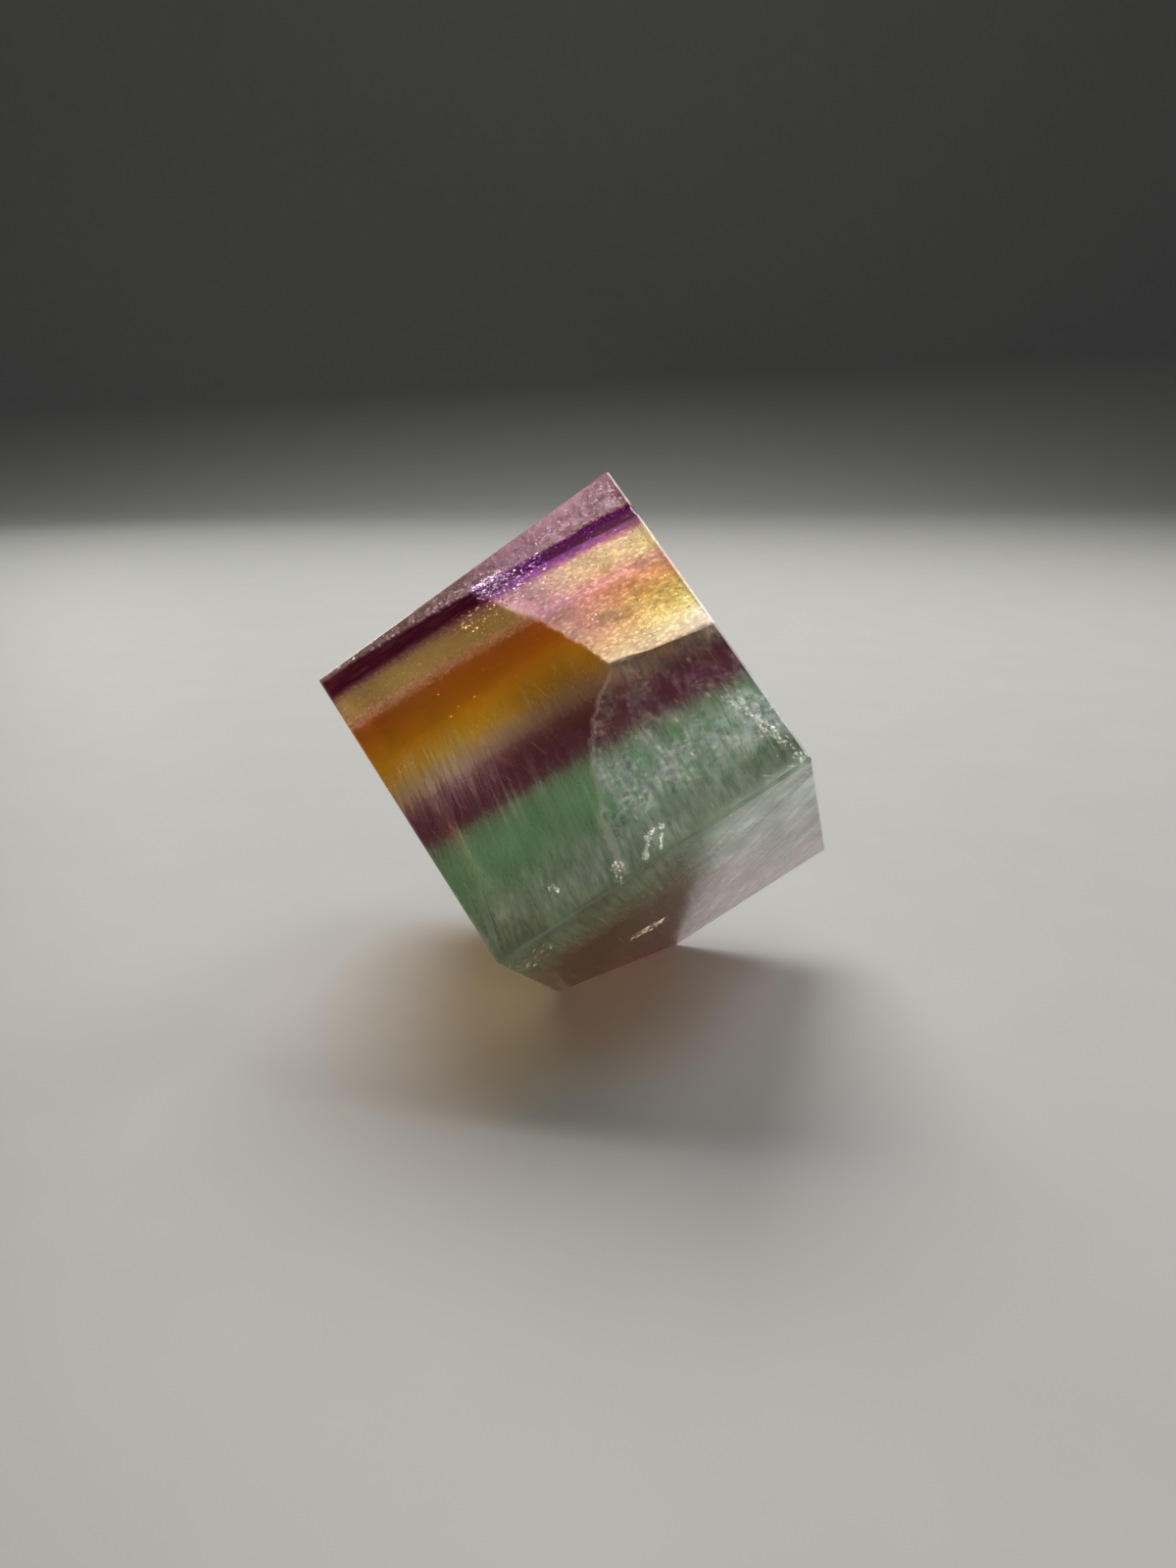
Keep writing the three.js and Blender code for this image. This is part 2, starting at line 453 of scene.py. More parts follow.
def add_textures(net, at):
    """The noises that several marks share. Threads stand across the lower bands, leaning a little."""
    leant = {"X": net.line(at.y, THREAD_LEAN, at.x), "Y": at.y, "Z": at.z}
    at.leant = net.add("ShaderNodeCombineXYZ", leant).outputs[0]
    at.specks = net.noise(at.point, 1.9, 3, 0.7)
    at.fine_threads = net.stretched_noise(at.leant, (3.0, 0.17, 3.0), 3, 0.6)
    at.threads = net.blend(0.60, net.stretched_noise(at.leant, (0.75, 0.09, 0.75), 2), at.fine_threads)
    at.wisps = net.stretched_noise(at.leant, (0.42, 0.15, 0.42), 4, 0.66, 0.8)
    at.wool = net.blend(0.60, at.wisps, net.stretched_noise(at.leant, (1.9, 0.42, 1.9), 4, 0.68))


def ramp_place(net, at):
    """Where on the colour ramps the point lies: its level, shaken by grain above and threads below."""
    wave = net.less(net.noise(at.point, 0.10, 2), 0.5)
    grain = net.less(net.noise(at.point, 1.1, 4, 0.65), 0.5)
    pull = net.less(at.threads, 0.5)
    below_amber = net.between(at.level, 0.24, 0.46, 0.006, 0.17)
    thread_reach = net.less(below_amber, net.between(at.level, 0.66, 0.80, 0.0, 0.12))
    band = net.line(grain, 0.014, net.line(wave, 0.018, at.level))
    band = net.line(pull, thread_reach, band)

    # The purple is thicker at the left and lies higher at the right.
    thicker = net.times(
        (at.across, 0.55, 0.0, 0.0, 0.017),
        (at.level, 0.030, 0.055),
        (at.level, 0.150, 0.095),
    )
    higher = net.times((at.across, 0.60, 1.0, 0.0, 0.012), (at.level, 0.14, 0.09))
    band = net.plus(net.less(band, thicker), higher)
    return net.line(band, 1 / BAND_REACH, -BAND_FIRST / BAND_REACH)


def milkiness(net, at, place):
    """How milky the stone is: grainy in the upper bands, thready lower, fibrous in the lowest."""
    fibres = net.noise(slantwise(net, at.point), 1.0, 4, 0.6)
    woolly = net.blend(0.5, net.between(at.wisps, 0.38, 0.66), net.between(at.fine_threads, 0.36, 0.64))
    thready = net.blend(net.between(at.level, 0.62, 0.84), net.between(at.threads, 0.36, 0.64), woolly)
    broken = net.blend(net.between(at.level, 0.24, 0.40), net.between(at.specks, 0.36, 0.66), thready)
    broken = net.blend(net.between(at.level, 1.02, 1.10), broken, net.between(fibres, 0.35, 0.65))
    return net.math("MULTIPLY", net.ramp(place, along_bands(MILK)), net.line(broken, 0.9, 0.25), clamp=True)


def mark_lower_bands(net, at, place, colour):
    """Adds the threads and clumps of the lower bands, and painted shade low down on the left."""
    # Long pale threads run from the amber through the maroon into the green.
    strands = net.times(
        (net.stretched_noise(at.leant, (1.5, 0.055, 1.5), 3, 0.55), 0.50, 0.70),
        (net.noise(at.point, 0.17, 2), 0.42, 0.60, 0.15, 1.0),
        (at.level, 0.30, 0.44),
        (at.level, 0.80, 0.58, 0.25, 0.75),
    )
    colour = net.mix(strands, colour, PALE_STRAND)

    # Milky clumps low down, and a patch of pale threads near the left end of the beige band.
    low_down = net.window(at.level, (0.72, 0.90), (1.04, 1.0))
    gaps = net.times(low_down, (at.wool, 0.49, 0.36, 0.0, 0.60))
    clumps = net.times(low_down, (at.wool, 0.49, 0.66, 0.0, 0.90))
    colour = net.mix(clumps, net.mix(gaps, colour, DARK_GAP), MILKY_CLUMP)
    patch = net.times(
        net.window(at.across, (0.02, 0.09), (0.30, 0.18)),
        (at.level, 0.33, 0.40),
        (at.level, 0.62, 0.46),
        (at.fine_threads, 0.38, 0.58),
    )
    colour = net.mix(patch, colour, BEIGE_THREAD)

    # A painted shade left of an edge low down, for the floor's shadow that the lower face mirrors, a plum
    # patch in the maroon, and dusk towards the right.
    shade_edge = net.line(at.back, REFLECTED_SHADE_TURN, REFLECTED_SHADE_EDGE)
    reflected_shade = net.times(
        (net.less(at.across, shade_edge), 0.02, -0.02),
        (at.level, 0.96, 1.06, 0.0, 0.92),
        (at.threads, 0.35, 0.65, 1.0, 0.75),
    )
    colour = net.mix(reflected_shade, colour, net.ramp(place, along_bands(REFLECTED_SHADE_COLOURS)))
    plum = net.times(
        (at.across, 0.66, 0.84),
        (at.level, 0.500, 0.525),
        (at.level, 0.640, 0.600),
        (net.noise(at.point, 0.22, 3), 0.40, 0.55),
        0.9,
    )
    colour = net.mix(plum, colour, DEEP_PLUM)
    dusky = net.times(
        (at.across, 0.24, 0.58, 0.0, 0.55),
        (at.level, 0.25, 0.40),
        (at.level, 0.60, 0.52),
    )
    return net.mix(dusky, colour, DUSKY_BROWN)


def mark_upper_bands(net, at, colour):
    """Adds flecks and frost to the top layer, streaks to the purple and painted glints to the straw band.
    """
    flecks = net.times(
        (at.level, 0.020, 0.008),
        (net.noise(at.point, 0.55, 3, 0.7), 0.50, 0.62, 0.0, 0.7),
    )
    colour = net.mix(flecks, colour, BROWN_FLECK)
    over_purple = net.between(at.level, 0.024, 0.012)
    dim = net.times(over_purple, (at.across, 0.90, 0.70, 0.0, 0.60))
    colour = net.mix(dim, colour, DIM_TOP)
    frosty = net.times(over_purple, (at.specks, 0.58, 0.68, 0.0, 0.75))
    colour = net.mix(frosty, colour, FROST)
    streaks = net.times(
        net.window(at.level, (0.024, 0.034), (0.092, 0.076)),
        (net.stretched_noise(at.point, (0.30, 2.6, 0.9), 3, 0.6), 0.46, 0.74, 0.0, 0.60),
    )
    colour = net.mix(streaks, colour, PURPLE_STREAK)
    # Painted glints: bright specks in the straw band stand in for its sparkle.
    painted_glints = net.times(
        net.window(at.level, (0.078, 0.088), (0.19, 0.17)),
        (at.across, 0.20, 0.50, 0.10, 1.0),
        (at.specks, 0.52, 0.64),
    )
    return net.mix(painted_glints, colour, STRAW_PAINTED_GLINT)


def beside_crack(net, at):
    """How far right of the crack's jagged left edge the point seems to lie, as a share across."""
    seen_down = net.line(at.back, SIGHT_FALL * DEPTH / HEIGHT, at.down)
    edge = {"X": at.x, "Y": net.times(seen_down, HEIGHT / MM)}
    edge_place = net.add("ShaderNodeCombineXYZ", edge).outputs[0]
    jags = net.less(net.noise(edge_place, 0.55, 4, 0.6), 0.5)
    return net.line(jags, 0.045, net.less(at.across, crack_edge(net, seen_down)))


def aqua_clouds(net, at):
    """Where the healed crack is clouded with blue-green."""
    return net.times(
        (at.level, 0.60, 0.72),
        (net.noise(at.point, 0.17, 3, 0.6), 0.45, 0.57),
        (at.across, 0.48, 0.66, 0.35, 1.0),
    )


def crack_look(net, at, place):
    """The bands as a crack shows them: violet above, rosy along its left edge, and full of painted flashes.
    """
    colour = net.ramp(place, along_bands(CRACK_BANDS))
    fringe = net.line(at.across, -0.030, at.level)
    violet = net.times(
        (fringe, 0.004, 0.011),
        (at.level, 0.066, 0.052),
        (at.across, 1.0, 0.62, 0.65, 1.0),
        (net.noise(at.point, 1.5, 3, 0.65), 0.34, 0.62, 0.15, 1.0),
    )
    colour = net.mix(violet, colour, VIOLET_FRINGE)
    rosy = net.times(
        (at.beside, 0.24, 0.04),
        (at.level, 0.44, 0.28, 0.0, 0.95),
        (at.level, 0.055, 0.075),
    )
    rose = net.mix(net.between(net.noise(at.point, 0.5, 3), 0.4, 0.6), ROSE, PALE_ROSE)
    colour = net.mix(rosy, colour, rose)
    # Painted flashes: bright specks below the purple stand in for the crack's glints.
    foil = net.times(
        (net.noise(at.point, 1.25, 3, 0.6), 0.52, 0.64, 0.0, 0.70),
        (at.level, 0.070, 0.090),
    )
    colour = net.mix(foil, colour, PAINTED_FLASH)
    colour = net.scale(colour, net.between(at.across, 0.50, 0.90, 0.80, 1.0))
    return net.mix(at.aqua, colour, AQUA_CLOUD)


def growth_bands_group(stone_point):
    """Gives where a point lies in the stone, its colours there, and its milk, wisps and clouds."""
    net = new_group("growth_bands")
    at = place_in_stone(net, stone_point)
    add_textures(net, at)
    at.beside = beside_crack(net, at)
    at.aqua = aqua_clouds(net, at)
    place = ramp_place(net, at)
    milk = milkiness(net, at, place)
    colour = net.mix(milk, net.ramp(place, along_bands(BANDS)), net.ramp(place, along_bands(MILK_COLOURS)))
    colour = mark_lower_bands(net, at, place, colour)
    colour = mark_upper_bands(net, at, colour)
    cloud = net.between(net.noise(at.point, 0.13, 3, 0.55), 0.30, 0.70, 0.82, 1.12)
    gives = {
        "Point": ("Vector", at.point),
        "Colour": ("Color", net.scale(colour, cloud)),
        "Crack Colour": ("Color", crack_look(net, at, place)),
        "Level": ("Float", at.level),
        "Milk": ("Float", milk),
        "Wool": ("Float", at.wool),
        "Aqua": ("Float", at.aqua),
        "Across": ("Float", at.across),
        "Down": ("Float", at.down),
        "Back": ("Float", at.back),
        "Beside": ("Float", at.beside),
    }
    return finish_group(net, gives)


# The veil's colours from the front of the lower face to its back, before and beyond an edge. Before the
# edge they are darker: painted shade, for the floor's shadow that the lower face mirrors.
VEIL_NEAR = [
    (0.00, (0.46, 0.66, 0.55)),
    (0.18, (0.36, 0.52, 0.36)),
    (0.28, (0.20, 0.22, 0.11)),
    (0.40, (0.18, 0.065, 0.035)),
    (0.80, (0.18, 0.055, 0.035)),
    (0.92, (0.26, 0.020, 0.040)),
    (1.00, (0.24, 0.025, 0.040)),
]
VEIL_FAR = [
    (0.00, (0.60, 0.84, 0.70)),
    (0.14, (0.88, 1.00, 0.93)),
    (0.34, (0.82, 0.96, 0.88)),
    (0.50, (0.68, 0.58, 0.62)),
    (1.00, (0.60, 0.46, 0.50)),
]
VEIL_SHADE_EDGE = 0.515
# What the stone of the lower face itself lets through there, before and beyond that edge, darker before it
# with the same painted shade.
FACE_NEAR = [
    (0.00, (0.66, 0.80, 0.60)),
    (0.22, (0.60, 0.69, 0.46)),
    (0.42, (0.36, 0.17, 0.11)),
    (1.00, (0.27, 0.055, 0.060)),
]
FACE_FAR = [
    (0.00, (0.76, 0.92, 0.80)),
    (0.34, (0.84, 0.94, 0.87)),
    (0.50, (0.86, 0.80, 0.84)),
    (1.00, (0.86, 0.76, 0.81)),
]


# The colours of its hairs and fibres, of its mossy corner and of the painted sparkle in a line across it.
PALE_HAIR, DARK_HAIR = (0.70, 0.66, 0.52), (0.10, 0.06, 0.035)
PALE_FIBRE, DARK_FIBRE = (1.0, 1.0, 0.98), (0.40, 0.33, 0.35)
MOSSY_CORNER = (0.52, 0.74, 0.64)
VEIL_PAINTED_SPARK, FACE_PAINTED_SPARK = (1.0, 0.97, 0.92), (1.0, 0.96, 0.90)


def low_veil_group(growth_bands):
    """Gives the look of the milky veil under the lower face: fibres beyond an edge, hairs before it, where
    painted shade darkens its colours.
    """
    net = new_group("low_veil")
    bands = net.group(growth_bands)
    point, across, back = bands["Point"], bands["Across"], bands["Back"]
    hairs = net.stretched_noise(point, (1.5, 0.3, 0.11), 4, 0.6)
    fibres = net.noise(slantwise(net, point), 1.0, 4, 0.6)
    # The edge of the painted shade, where the mirrored floor's shadow ends.
    shade_edge = net.line(hairs, 0.22, net.line(back, REFLECTED_SHADE_TURN, VEIL_SHADE_EDGE))
    beyond = net.between(net.less(across, shade_edge), 0.04, 0.16)
    shade = net.between(across, 0.72, 0.95, 1.0, 0.84)

    pale_hairs = net.times((hairs, 0.50, 0.66), (back, 0.20, 0.45, 0.85, 0.30))
    near = net.mix(pale_hairs, net.ramp(back, VEIL_NEAR), PALE_HAIR)
    near = net.mix(net.between(hairs, 0.46, 0.36, 0.0, 0.6), near, DARK_HAIR)
    mossy = net.times((across, 0.26, 0.04), (back, 0.34, 0.10, 0.0, 0.8))
    near = net.mix(mossy, near, MOSSY_CORNER)
    far = net.scale(net.ramp(back, VEIL_FAR), shade)
    far = net.mix(net.between(fibres, 0.50, 0.62, 0.0, 0.7), far, PALE_FIBRE)
    far = net.mix(net.between(fibres, 0.48, 0.38, 0.0, 0.55), far, DARK_FIBRE)
    clouds = net.between(net.noise(point, 0.20, 3, 0.55), 0.32, 0.68, 0.56, 1.14)
    colour = net.scale(net.mix(beyond, near, far), clouds)

    # A line of painted sparkle: bright specks in the veil's colour and in the face's stand in for glints.
    painted_sparks = net.times(
        (net.apart(back, net.line(across, 0.25, 0.49)), 0.042, 0.014),
        (across, 0.29, 0.32),
        (across, 0.44, 0.40),
        (net.stretched_noise(point, (1.1, 1, 4.5), 3, 0.6), 0.48, 0.54),
    )
    colour = net.mix(painted_sparks, colour, VEIL_PAINTED_SPARK)
    through = net.mix(beyond, net.ramp(back, FACE_NEAR), net.scale(net.ramp(back, FACE_FAR), shade))
    face_colour = net.mix(painted_sparks, net.mix(0.45, colour, through), FACE_PAINTED_SPARK)
    thin = net.plus(net.between(hairs, 0.36, 0.64, 0.35, 0.75), net.between(back, 0.30, 0.10, 0.0, 0.4))
    thick = net.plus(net.between(fibres, 0.40, 0.60, 0.45, 0.95), net.between(back, 0.50, 0.25, 0.0, 0.4))
    gives = {
        "Colour": ("Color", colour),
        "Face Colour": ("Color", face_colour),
        "Cover": ("Float", net.math("MAXIMUM", painted_sparks, net.blend(beyond, thin, thick), clamp=True)),
    }
    return finish_group(net, gives)


# ---------------------------------------------------------------- materials


def bare_material(name):
    """A new material with its Principled shader and its output."""
    material = bpy.data.materials.new(name)
    material.use_nodes = True
    nodes = material.node_tree.nodes
    return material, Net(material.node_tree), nodes["Principled BSDF"], nodes["Material Output"]


# What a lamp's light keeps where it goes into the stone, and where it comes out of it.
LAMP_IN = (0.160, 0.092, 0.036)
LAMP_OUT = (0.90, 0.89, 0.88)


def let_lamps_in(net, surface, output):
    """Lamps shine through the surface as through clear stone, so that they reach what lies inside."""
    path = net.add("ShaderNodeLightPath")
    inside = net.add("ShaderNodeNewGeometry").outputs["Backfacing"]
    clear = net.add("ShaderNodeBsdfTransparent", {"Color": net.mix(inside, LAMP_IN, LAMP_OUT)})
    keys = {0: path.outputs["Is Shadow Ray"], 1: surface.outputs[0], 2: clear.outputs[0]}
    net.feed(output.inputs["Surface"], net.add("ShaderNodeMixShader", keys).outputs[0])


# The colours of the marks on the polished front face, and of the painted sheen along its worn edge at the
# left and right.
MAROON_WISP, GREEN_WISP = (0.62, 0.50, 0.52), (0.68, 0.86, 0.79)
PALE_LINE = (0.96, 1.0, 0.98)
STEP_SHADOW = (0.20, 0.15, 0.13)
EDGE_LINE = (0.80, 0.72, 0.66)
# The crushed tip's white and lilac, partly its own and partly painted glitter.
CRUSHED_TIP_GLITTER = (0.90, 0.84, 1.0)
SHEEN_LEFT, SHEEN_RIGHT = (0.40, 0.44, 0.34), (0.70, 0.76, 0.70)
# How rough the stone's surface is where it is clear and where it is worn.
CLEAR, WORN = 0.03, 0.40
# The faint colour of the stone's whole body, besides that of its growth zones.
BODY_COLOUR = (0.62, 0.55, 0.60)
BODY_DENSITY = 3.0


def cracks_seen(net, bands):
    """Where the front face shows the open crack above the step, the healed one below it, and both."""
    below_step = net.less(bands["Down"], crack_step(net, bands["Across"]))
    near_front = net.between(bands["Back"], 0.13, 0.05)
    both = net.times(near_front, (bands["Beside"], -0.004, 0.004))
    upper = net.times(both, (bands["Level"], 0.018, 0.026), (below_step, 0.004, -0.004))
    lower = net.times(both, (below_step, -0.004, 0.004), (bands["Down"], 0.98, 0.84, 0.25, 1.0))
    places = {"below_step": below_step, "near_front": near_front}
    return SimpleNamespace(**places, both=both, upper=upper, lower=lower)


def mark_cracks(net, bands, seen, colour):
    """The pale wedge over the open crack, the milky wisps of the healed one, and the lines between."""
    colour = net.mix(net.times(seen.upper, 0.92), colour, bands["Crack Colour"])
    in_green = net.between(bands["Level"], 0.60, 0.69)
    in_beige = net.between(bands["Level"], 0.54, 0.46, 0.34, 0.70)
    wisps = net.times((bands["Wool"], 0.42, 0.62, 0.08, 1.0), net.blend(in_green, in_beige, 0.90))
    colour = net.mix(net.times(seen.lower, wisps), colour, net.mix(in_green, MAROON_WISP, GREEN_WISP))
    lines = net.times(
        (net.stretched_noise(bands["Point"], (1.7, 0.06, 1.7), 3, 0.6), 0.54, 0.68, 0.0, 0.8),
        (bands["Level"], 0.60, 0.66),
    )
    colour = net.mix(net.times(seen.lower, lines), colour, PALE_LINE)
    aqua = net.times(bands["Aqua"], (bands["Wool"], 0.44, 0.60, 0.25, 1.0))
    colour = net.mix(net.times(seen.both, aqua), colour, AQUA_CLOUD)
    step_line = net.between(net.math("ABSOLUTE", seen.below_step), 0.009, 0.003)
    colour = net.mix(net.times(step_line, seen.both, 0.7), colour, STEP_SHADOW)
    edge_line = net.times(
        (net.math("ABSOLUTE", bands["Beside"]), 0.013, 0.004),
        seen.near_front,
        (bands["Down"], 0.49, 0.50, 0.30, 0.80),
        (bands["Down"], 0.07, 0.10),
    )
    return net.mix(edge_line, colour, EDGE_LINE)


def crushed_tip(net, bands, near_front):
    """Where the stone is crushed, along the first stretch of the crack's edge in the purple."""
    tip_fall = net.line(bands["Across"], 0.36, -0.118)
    return net.times(
        (net.apart(bands["Down"], tip_fall), 0.042, 0.018),
        (bands["Across"], 0.495, 0.515),
        (bands["Across"], 0.70, 0.56),
        near_front,
    )


def fluorite_material(growth_bands, low_veil):
    """Clear glassy stone, tinted by its bands and by what lies close under its faces."""
    material, net, surface, output = bare_material("polished_fluorite")
    bands = net.group(growth_bands)
    seen = cracks_seen(net, bands)
    colour = mark_cracks(net, bands, seen, bands["Colour"])

    # Crushed stone at the crack's tip shows white and lilac specks through the purple: partly its own pale
    # colour, partly painted glitter.
    tip = crushed_tip(net, bands, seen.near_front)
    crushed = net.times(tip, (net.noise(bands["Point"], 1.6, 3, 0.6), 0.40, 0.56))
    colour = net.mix(crushed, colour, CRUSHED_TIP_GLITTER)

    # The lower face is clear over the veil that lies under it, and takes the veil's colours, with their
    # painted shade and painted sparkle.
    low = net.times((bands["Down"], 0.985, 0.995), (bands["Back"], 0.004, 0.014))
    colour = net.mix(low, colour, net.group(low_veil)["Face Colour"])

    # Along the edge between the front and the lower face the polish is worn soft, and its pale colour there
    # is a painted sheen.
    wear_and_sheen = net.times((bands["Down"], 0.962, 0.996), (bands["Back"], 0.09, 0.02))
    sheen_colour = net.mix(net.between(bands["Across"], 0.50, 0.75), SHEEN_LEFT, SHEEN_RIGHT)
    colour = net.mix(net.times(wear_and_sheen, 0.8), colour, sheen_colour)

    # Over the cracks the stone is clear, elsewhere its clouds blur what lies deep.
    blur = net.line(bands["Milk"], 0.26, 0.21)
    blur = net.blend(net.times(wear_and_sheen, 0.6), blur, WORN)
    blur = net.blend(low, blur, CLEAR)
    blur = net.blend(net.math("MAXIMUM", seen.upper, tip), blur, CLEAR)
    keys = {
        "Base Color": colour,
        "Roughness": blur,
        "IOR": REFRACTION,
        "Transmission Weight": 0.85,
        "Coat Weight": 0.6,
        "Coat Roughness": 0.03,
        "Coat IOR": REFRACTION,
    }
    net.feed_all(surface.inputs, keys)
    let_lamps_in(net, surface, output)
    body = net.add("ShaderNodeVolumeAbsorption", {"Color": BODY_COLOUR, "Density": BODY_DENSITY})
    net.feed(output.inputs["Volume"], body.outputs[0])
    return material


def float_curve(net, value, points):
    """The shader's way to read a value off a run of points in straight stretches, as along() does."""
    made = net.add("ShaderNodeFloatCurve", {"Value": value})
    curve = made.mapping.curves[0]
    for place, height in points[1:-1]:
        curve.points.new(place, height)
    curve.points[0].location = points[0]
    curve.points[-1].location = points[-1]
    for spot in curve.points:
        spot.handle_type = "VECTOR"
    made.mapping.update()
    return made.outputs[0]


def crack_edge(net, down):
    """How far across the front face the crack's left edge lies, for a share down it."""
    return float_curve(net, down, CRACK_LEFT)


def crack_step(net, across):
    """How far down the front face the crack's step lies, for a share across it."""
    return float_curve(net, across, CRACK_STEP)


# How many facets of a crack's wall there are per millimetre, each way.
FACET_STRETCH = (1.5, 2.1, 1.5)


def crack_material(name, growth_bands, pale, own, metal, rough, cover, gaps):
    """The wall of a crack: a thin bright film of facets, patchy between cover (shown) and gaps (clear).

    Its colour lies between pale and the colour of the growth bands, own being the share of these."""
    material, net, surface, _ = bare_material(name)
    bands = net.group(growth_bands)
    scale = net.stretched_noise(bands["Point"], (1.4, 1.9, 1.4), 4, 0.62)
    jolt = net.times(scale, 1.2)
    facet_place = net.vector("ADD", net.vector("MULTIPLY", bands["Point"], FACET_STRETCH), jolt)
    facets = net.add("ShaderNodeTexVoronoi", {"Vector": facet_place, "Scale": 1.0}).outputs
    chance = net.add("ShaderNodeSeparateXYZ", {"Vector": facets["Color"]}).outputs["X"]
    # Painted highlights: each facet's colour is brighter at its middle and varies in patches.
    facet_light = net.times(chance, (facets["Distance"], 0.75, 0.15))
    light = net.times((facet_light, 0.0, 0.8, 0.80, 1.32), (scale, 0.38, 0.60, 0.86, 1.10))
    patch = net.stretched_noise(bands["Point"], (0.55, 0.30, 0.55), 4, 0.6)
    patch = net.line(bands["Aqua"], 0.20, patch)
    shown = net.times(
        (patch, gaps, cover),
        (bands["Beside"], -0.002, 0.003),
        (bands["Down"], 0.93, 0.80),
    )
    bump = {"Height": scale, "Strength": 0.02, "Distance": 0.10 * MM}
    keys = {
        "Base Color": net.scale(net.mix(own, pale, bands["Crack Colour"]), light),
        "Metallic": metal,
        "Roughness": net.between(scale, 0.3, 0.7, rough * 0.7, rough * 1.4),
        "IOR": REFRACTION,
        "Alpha": shown,
        "Normal": net.add("ShaderNodeBump", bump).outputs[0],
    }
    net.feed_all(surface.inputs, keys)
    return material


FLOOR_SHADES = (0.40, 0.405, 0.385), (0.435, 0.44, 0.42)


def floor_material():
    """A pale matt floor with faint specks."""
    material, net, surface, _ = bare_material("pale_floor")
    fleck = net.noise(net.add("ShaderNodeTexCoord").outputs["Object"], 60.0, 3)
    net.feed_all(surface.inputs, {"Base Color": net.mix(fleck, *FLOOR_SHADES), "Roughness": 0.55})
    return material


# ---------------------------------------------------------------- pieces


def mesh_object(name, body, material=None):
    """Turns a bmesh into a finished object and frees the bmesh."""
    mesh = bpy.data.meshes.new(name)
    body.to_mesh(mesh)
    body.free()
    if material:
        mesh.materials.append(material)
    made = bpy.data.objects.new(name, mesh)
    bpy.context.collection.objects.link(made)
    return made


# Ground faces are larger than this, and chips and bevels smaller.
BROAD_FACE = 60 * MM * MM
# How far what lies inside stays clear of the stone's faces.
TRIM_DEPTH = 0.012 * MM
# Triangles this near to one plane become one face again, and corners this near one corner.
FLAT_ANGLE = math.radians(0.5)
SAME_CORNER = 0.002 * MM


def keep_in_stone(piece):
    """Says that a piece belongs to the stone."""
    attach(piece, "root")
    return piece


# The floor, in metres: how far it reaches to each side, where its front edge and its bend lie, how
# wide the bend is, and how high the backdrop above it reaches.
FLOOR_SIDE = 1.2
FLOOR_FRONT, FLOOR_BEND = -0.9, 0.7
BEND_RADIUS = 0.5
BACKDROP_TOP = 1.4
BEND_STEPS = 16


def make_stage(material):
    """A pale floor that sweeps up behind the stone."""
    body = bmesh.new()
    start = body.verts.new((-FLOOR_SIDE, FLOOR_FRONT, 0))
    end = body.verts.new((-FLOOR_SIDE, FLOOR_BEND, 0))
    body.edges.new((start, end))
    bend = {"cent": (-FLOOR_SIDE, FLOOR_BEND, BEND_RADIUS), "axis": (1, 0, 0), "angle": math.pi / 2}
    bmesh.ops.spin(body, geom=[end], **bend, steps=BEND_STEPS, use_duplicate=False)
    top = max(body.verts, key=lambda vert: vert.co.z)
    high = bmesh.ops.extrude_vert_indiv(body, verts=[top])["verts"][0]
    high.co.z = BACKDROP_TOP
    swept = bmesh.ops.extrude_edge_only(body, edges=body.edges[:])["geom"]
    swept = [item for item in swept if isinstance(item, bmesh.types.BMVert)]
    bmesh.ops.translate(body, verts=swept, vec=(2 * FLOOR_SIDE, 0, 0))
    bmesh.ops.recalc_face_normals(body, faces=body.faces[:])
    floor = mesh_object("floor", body, material)
    for face in floor.data.polygons:
        face.use_smooth = True


def ground_solid():
    """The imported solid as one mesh."""
    body = bmesh.new()
    body.from_mesh(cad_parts["fluorite_cube"].data)
    bmesh.ops.remove_doubles(body, verts=body.verts[:], dist=SAME_CORNER)
    return body


def flatten(body):
    """Makes each flat part of the solid one face."""
    bmesh.ops.dissolve_limit(body, angle_limit=FLAT_ANGLE, verts=body.verts[:], edges=body.edges[:])


def lay_square(body):
    """Moves the standing solid into the stone's own square frame."""
    bmesh.ops.transform(body, matrix=STONE_PLACE.inverted(), verts=body.verts[:])


def stand_up(name, body, material):
    """Makes a piece from what was built in the stone's square frame."""
    trim_to_stone(body)
    bmesh.ops.transform(body, matrix=STONE_PLACE, verts=body.verts[:])
    keep_in_stone(mesh_object(name, body, material))


def stone_faces():
    """A point and the outward normal of each broad ground face, in the stone's own frame."""
    body = ground_solid()
    lay_square(body)
    flatten(body)
    broad = [face for face in body.faces if face.calc_area() > BROAD_FACE]
    faces = [(face.calc_center_median(), face.normal.copy()) for face in broad]
    body.free()
    return faces


def low_face():
    """A point and the outward normal of the stone's lower face."""
    return max(stone_faces(), key=lambda face: face[1].y)


def under_low_face(face, across, back, deep):
    """A point at a depth in metres under the lower face, from its shares across and back."""
    spot, normal = face
    point = in_stone(across, 1, back * DEPTH)
    point.y += (spot - point).dot(normal) / normal.y - deep
    return point


def trim_to_stone(body):
    """Cuts off what would reach out of the stone, a little under its faces."""
    for spot, normal in stone_faces():
        everything = body.verts[:] + body.edges[:] + body.faces[:]
        plane = {"plane_co": spot - normal * TRIM_DEPTH, "plane_no": normal}
        bmesh.ops.bisect_plane(body, geom=everything, dist=1e-7, **plane, clear_outer=True)


def make_stone(material):
    """The ground stone with its polished faces, bevels and chips."""
    body = ground_solid()
    flatten(body)
    stone = keep_in_stone(mesh_object("polished_cube", body, material))
    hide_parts("fluorite_cube")


# ---------------------------------------------------------------- the growth zones inside the stone

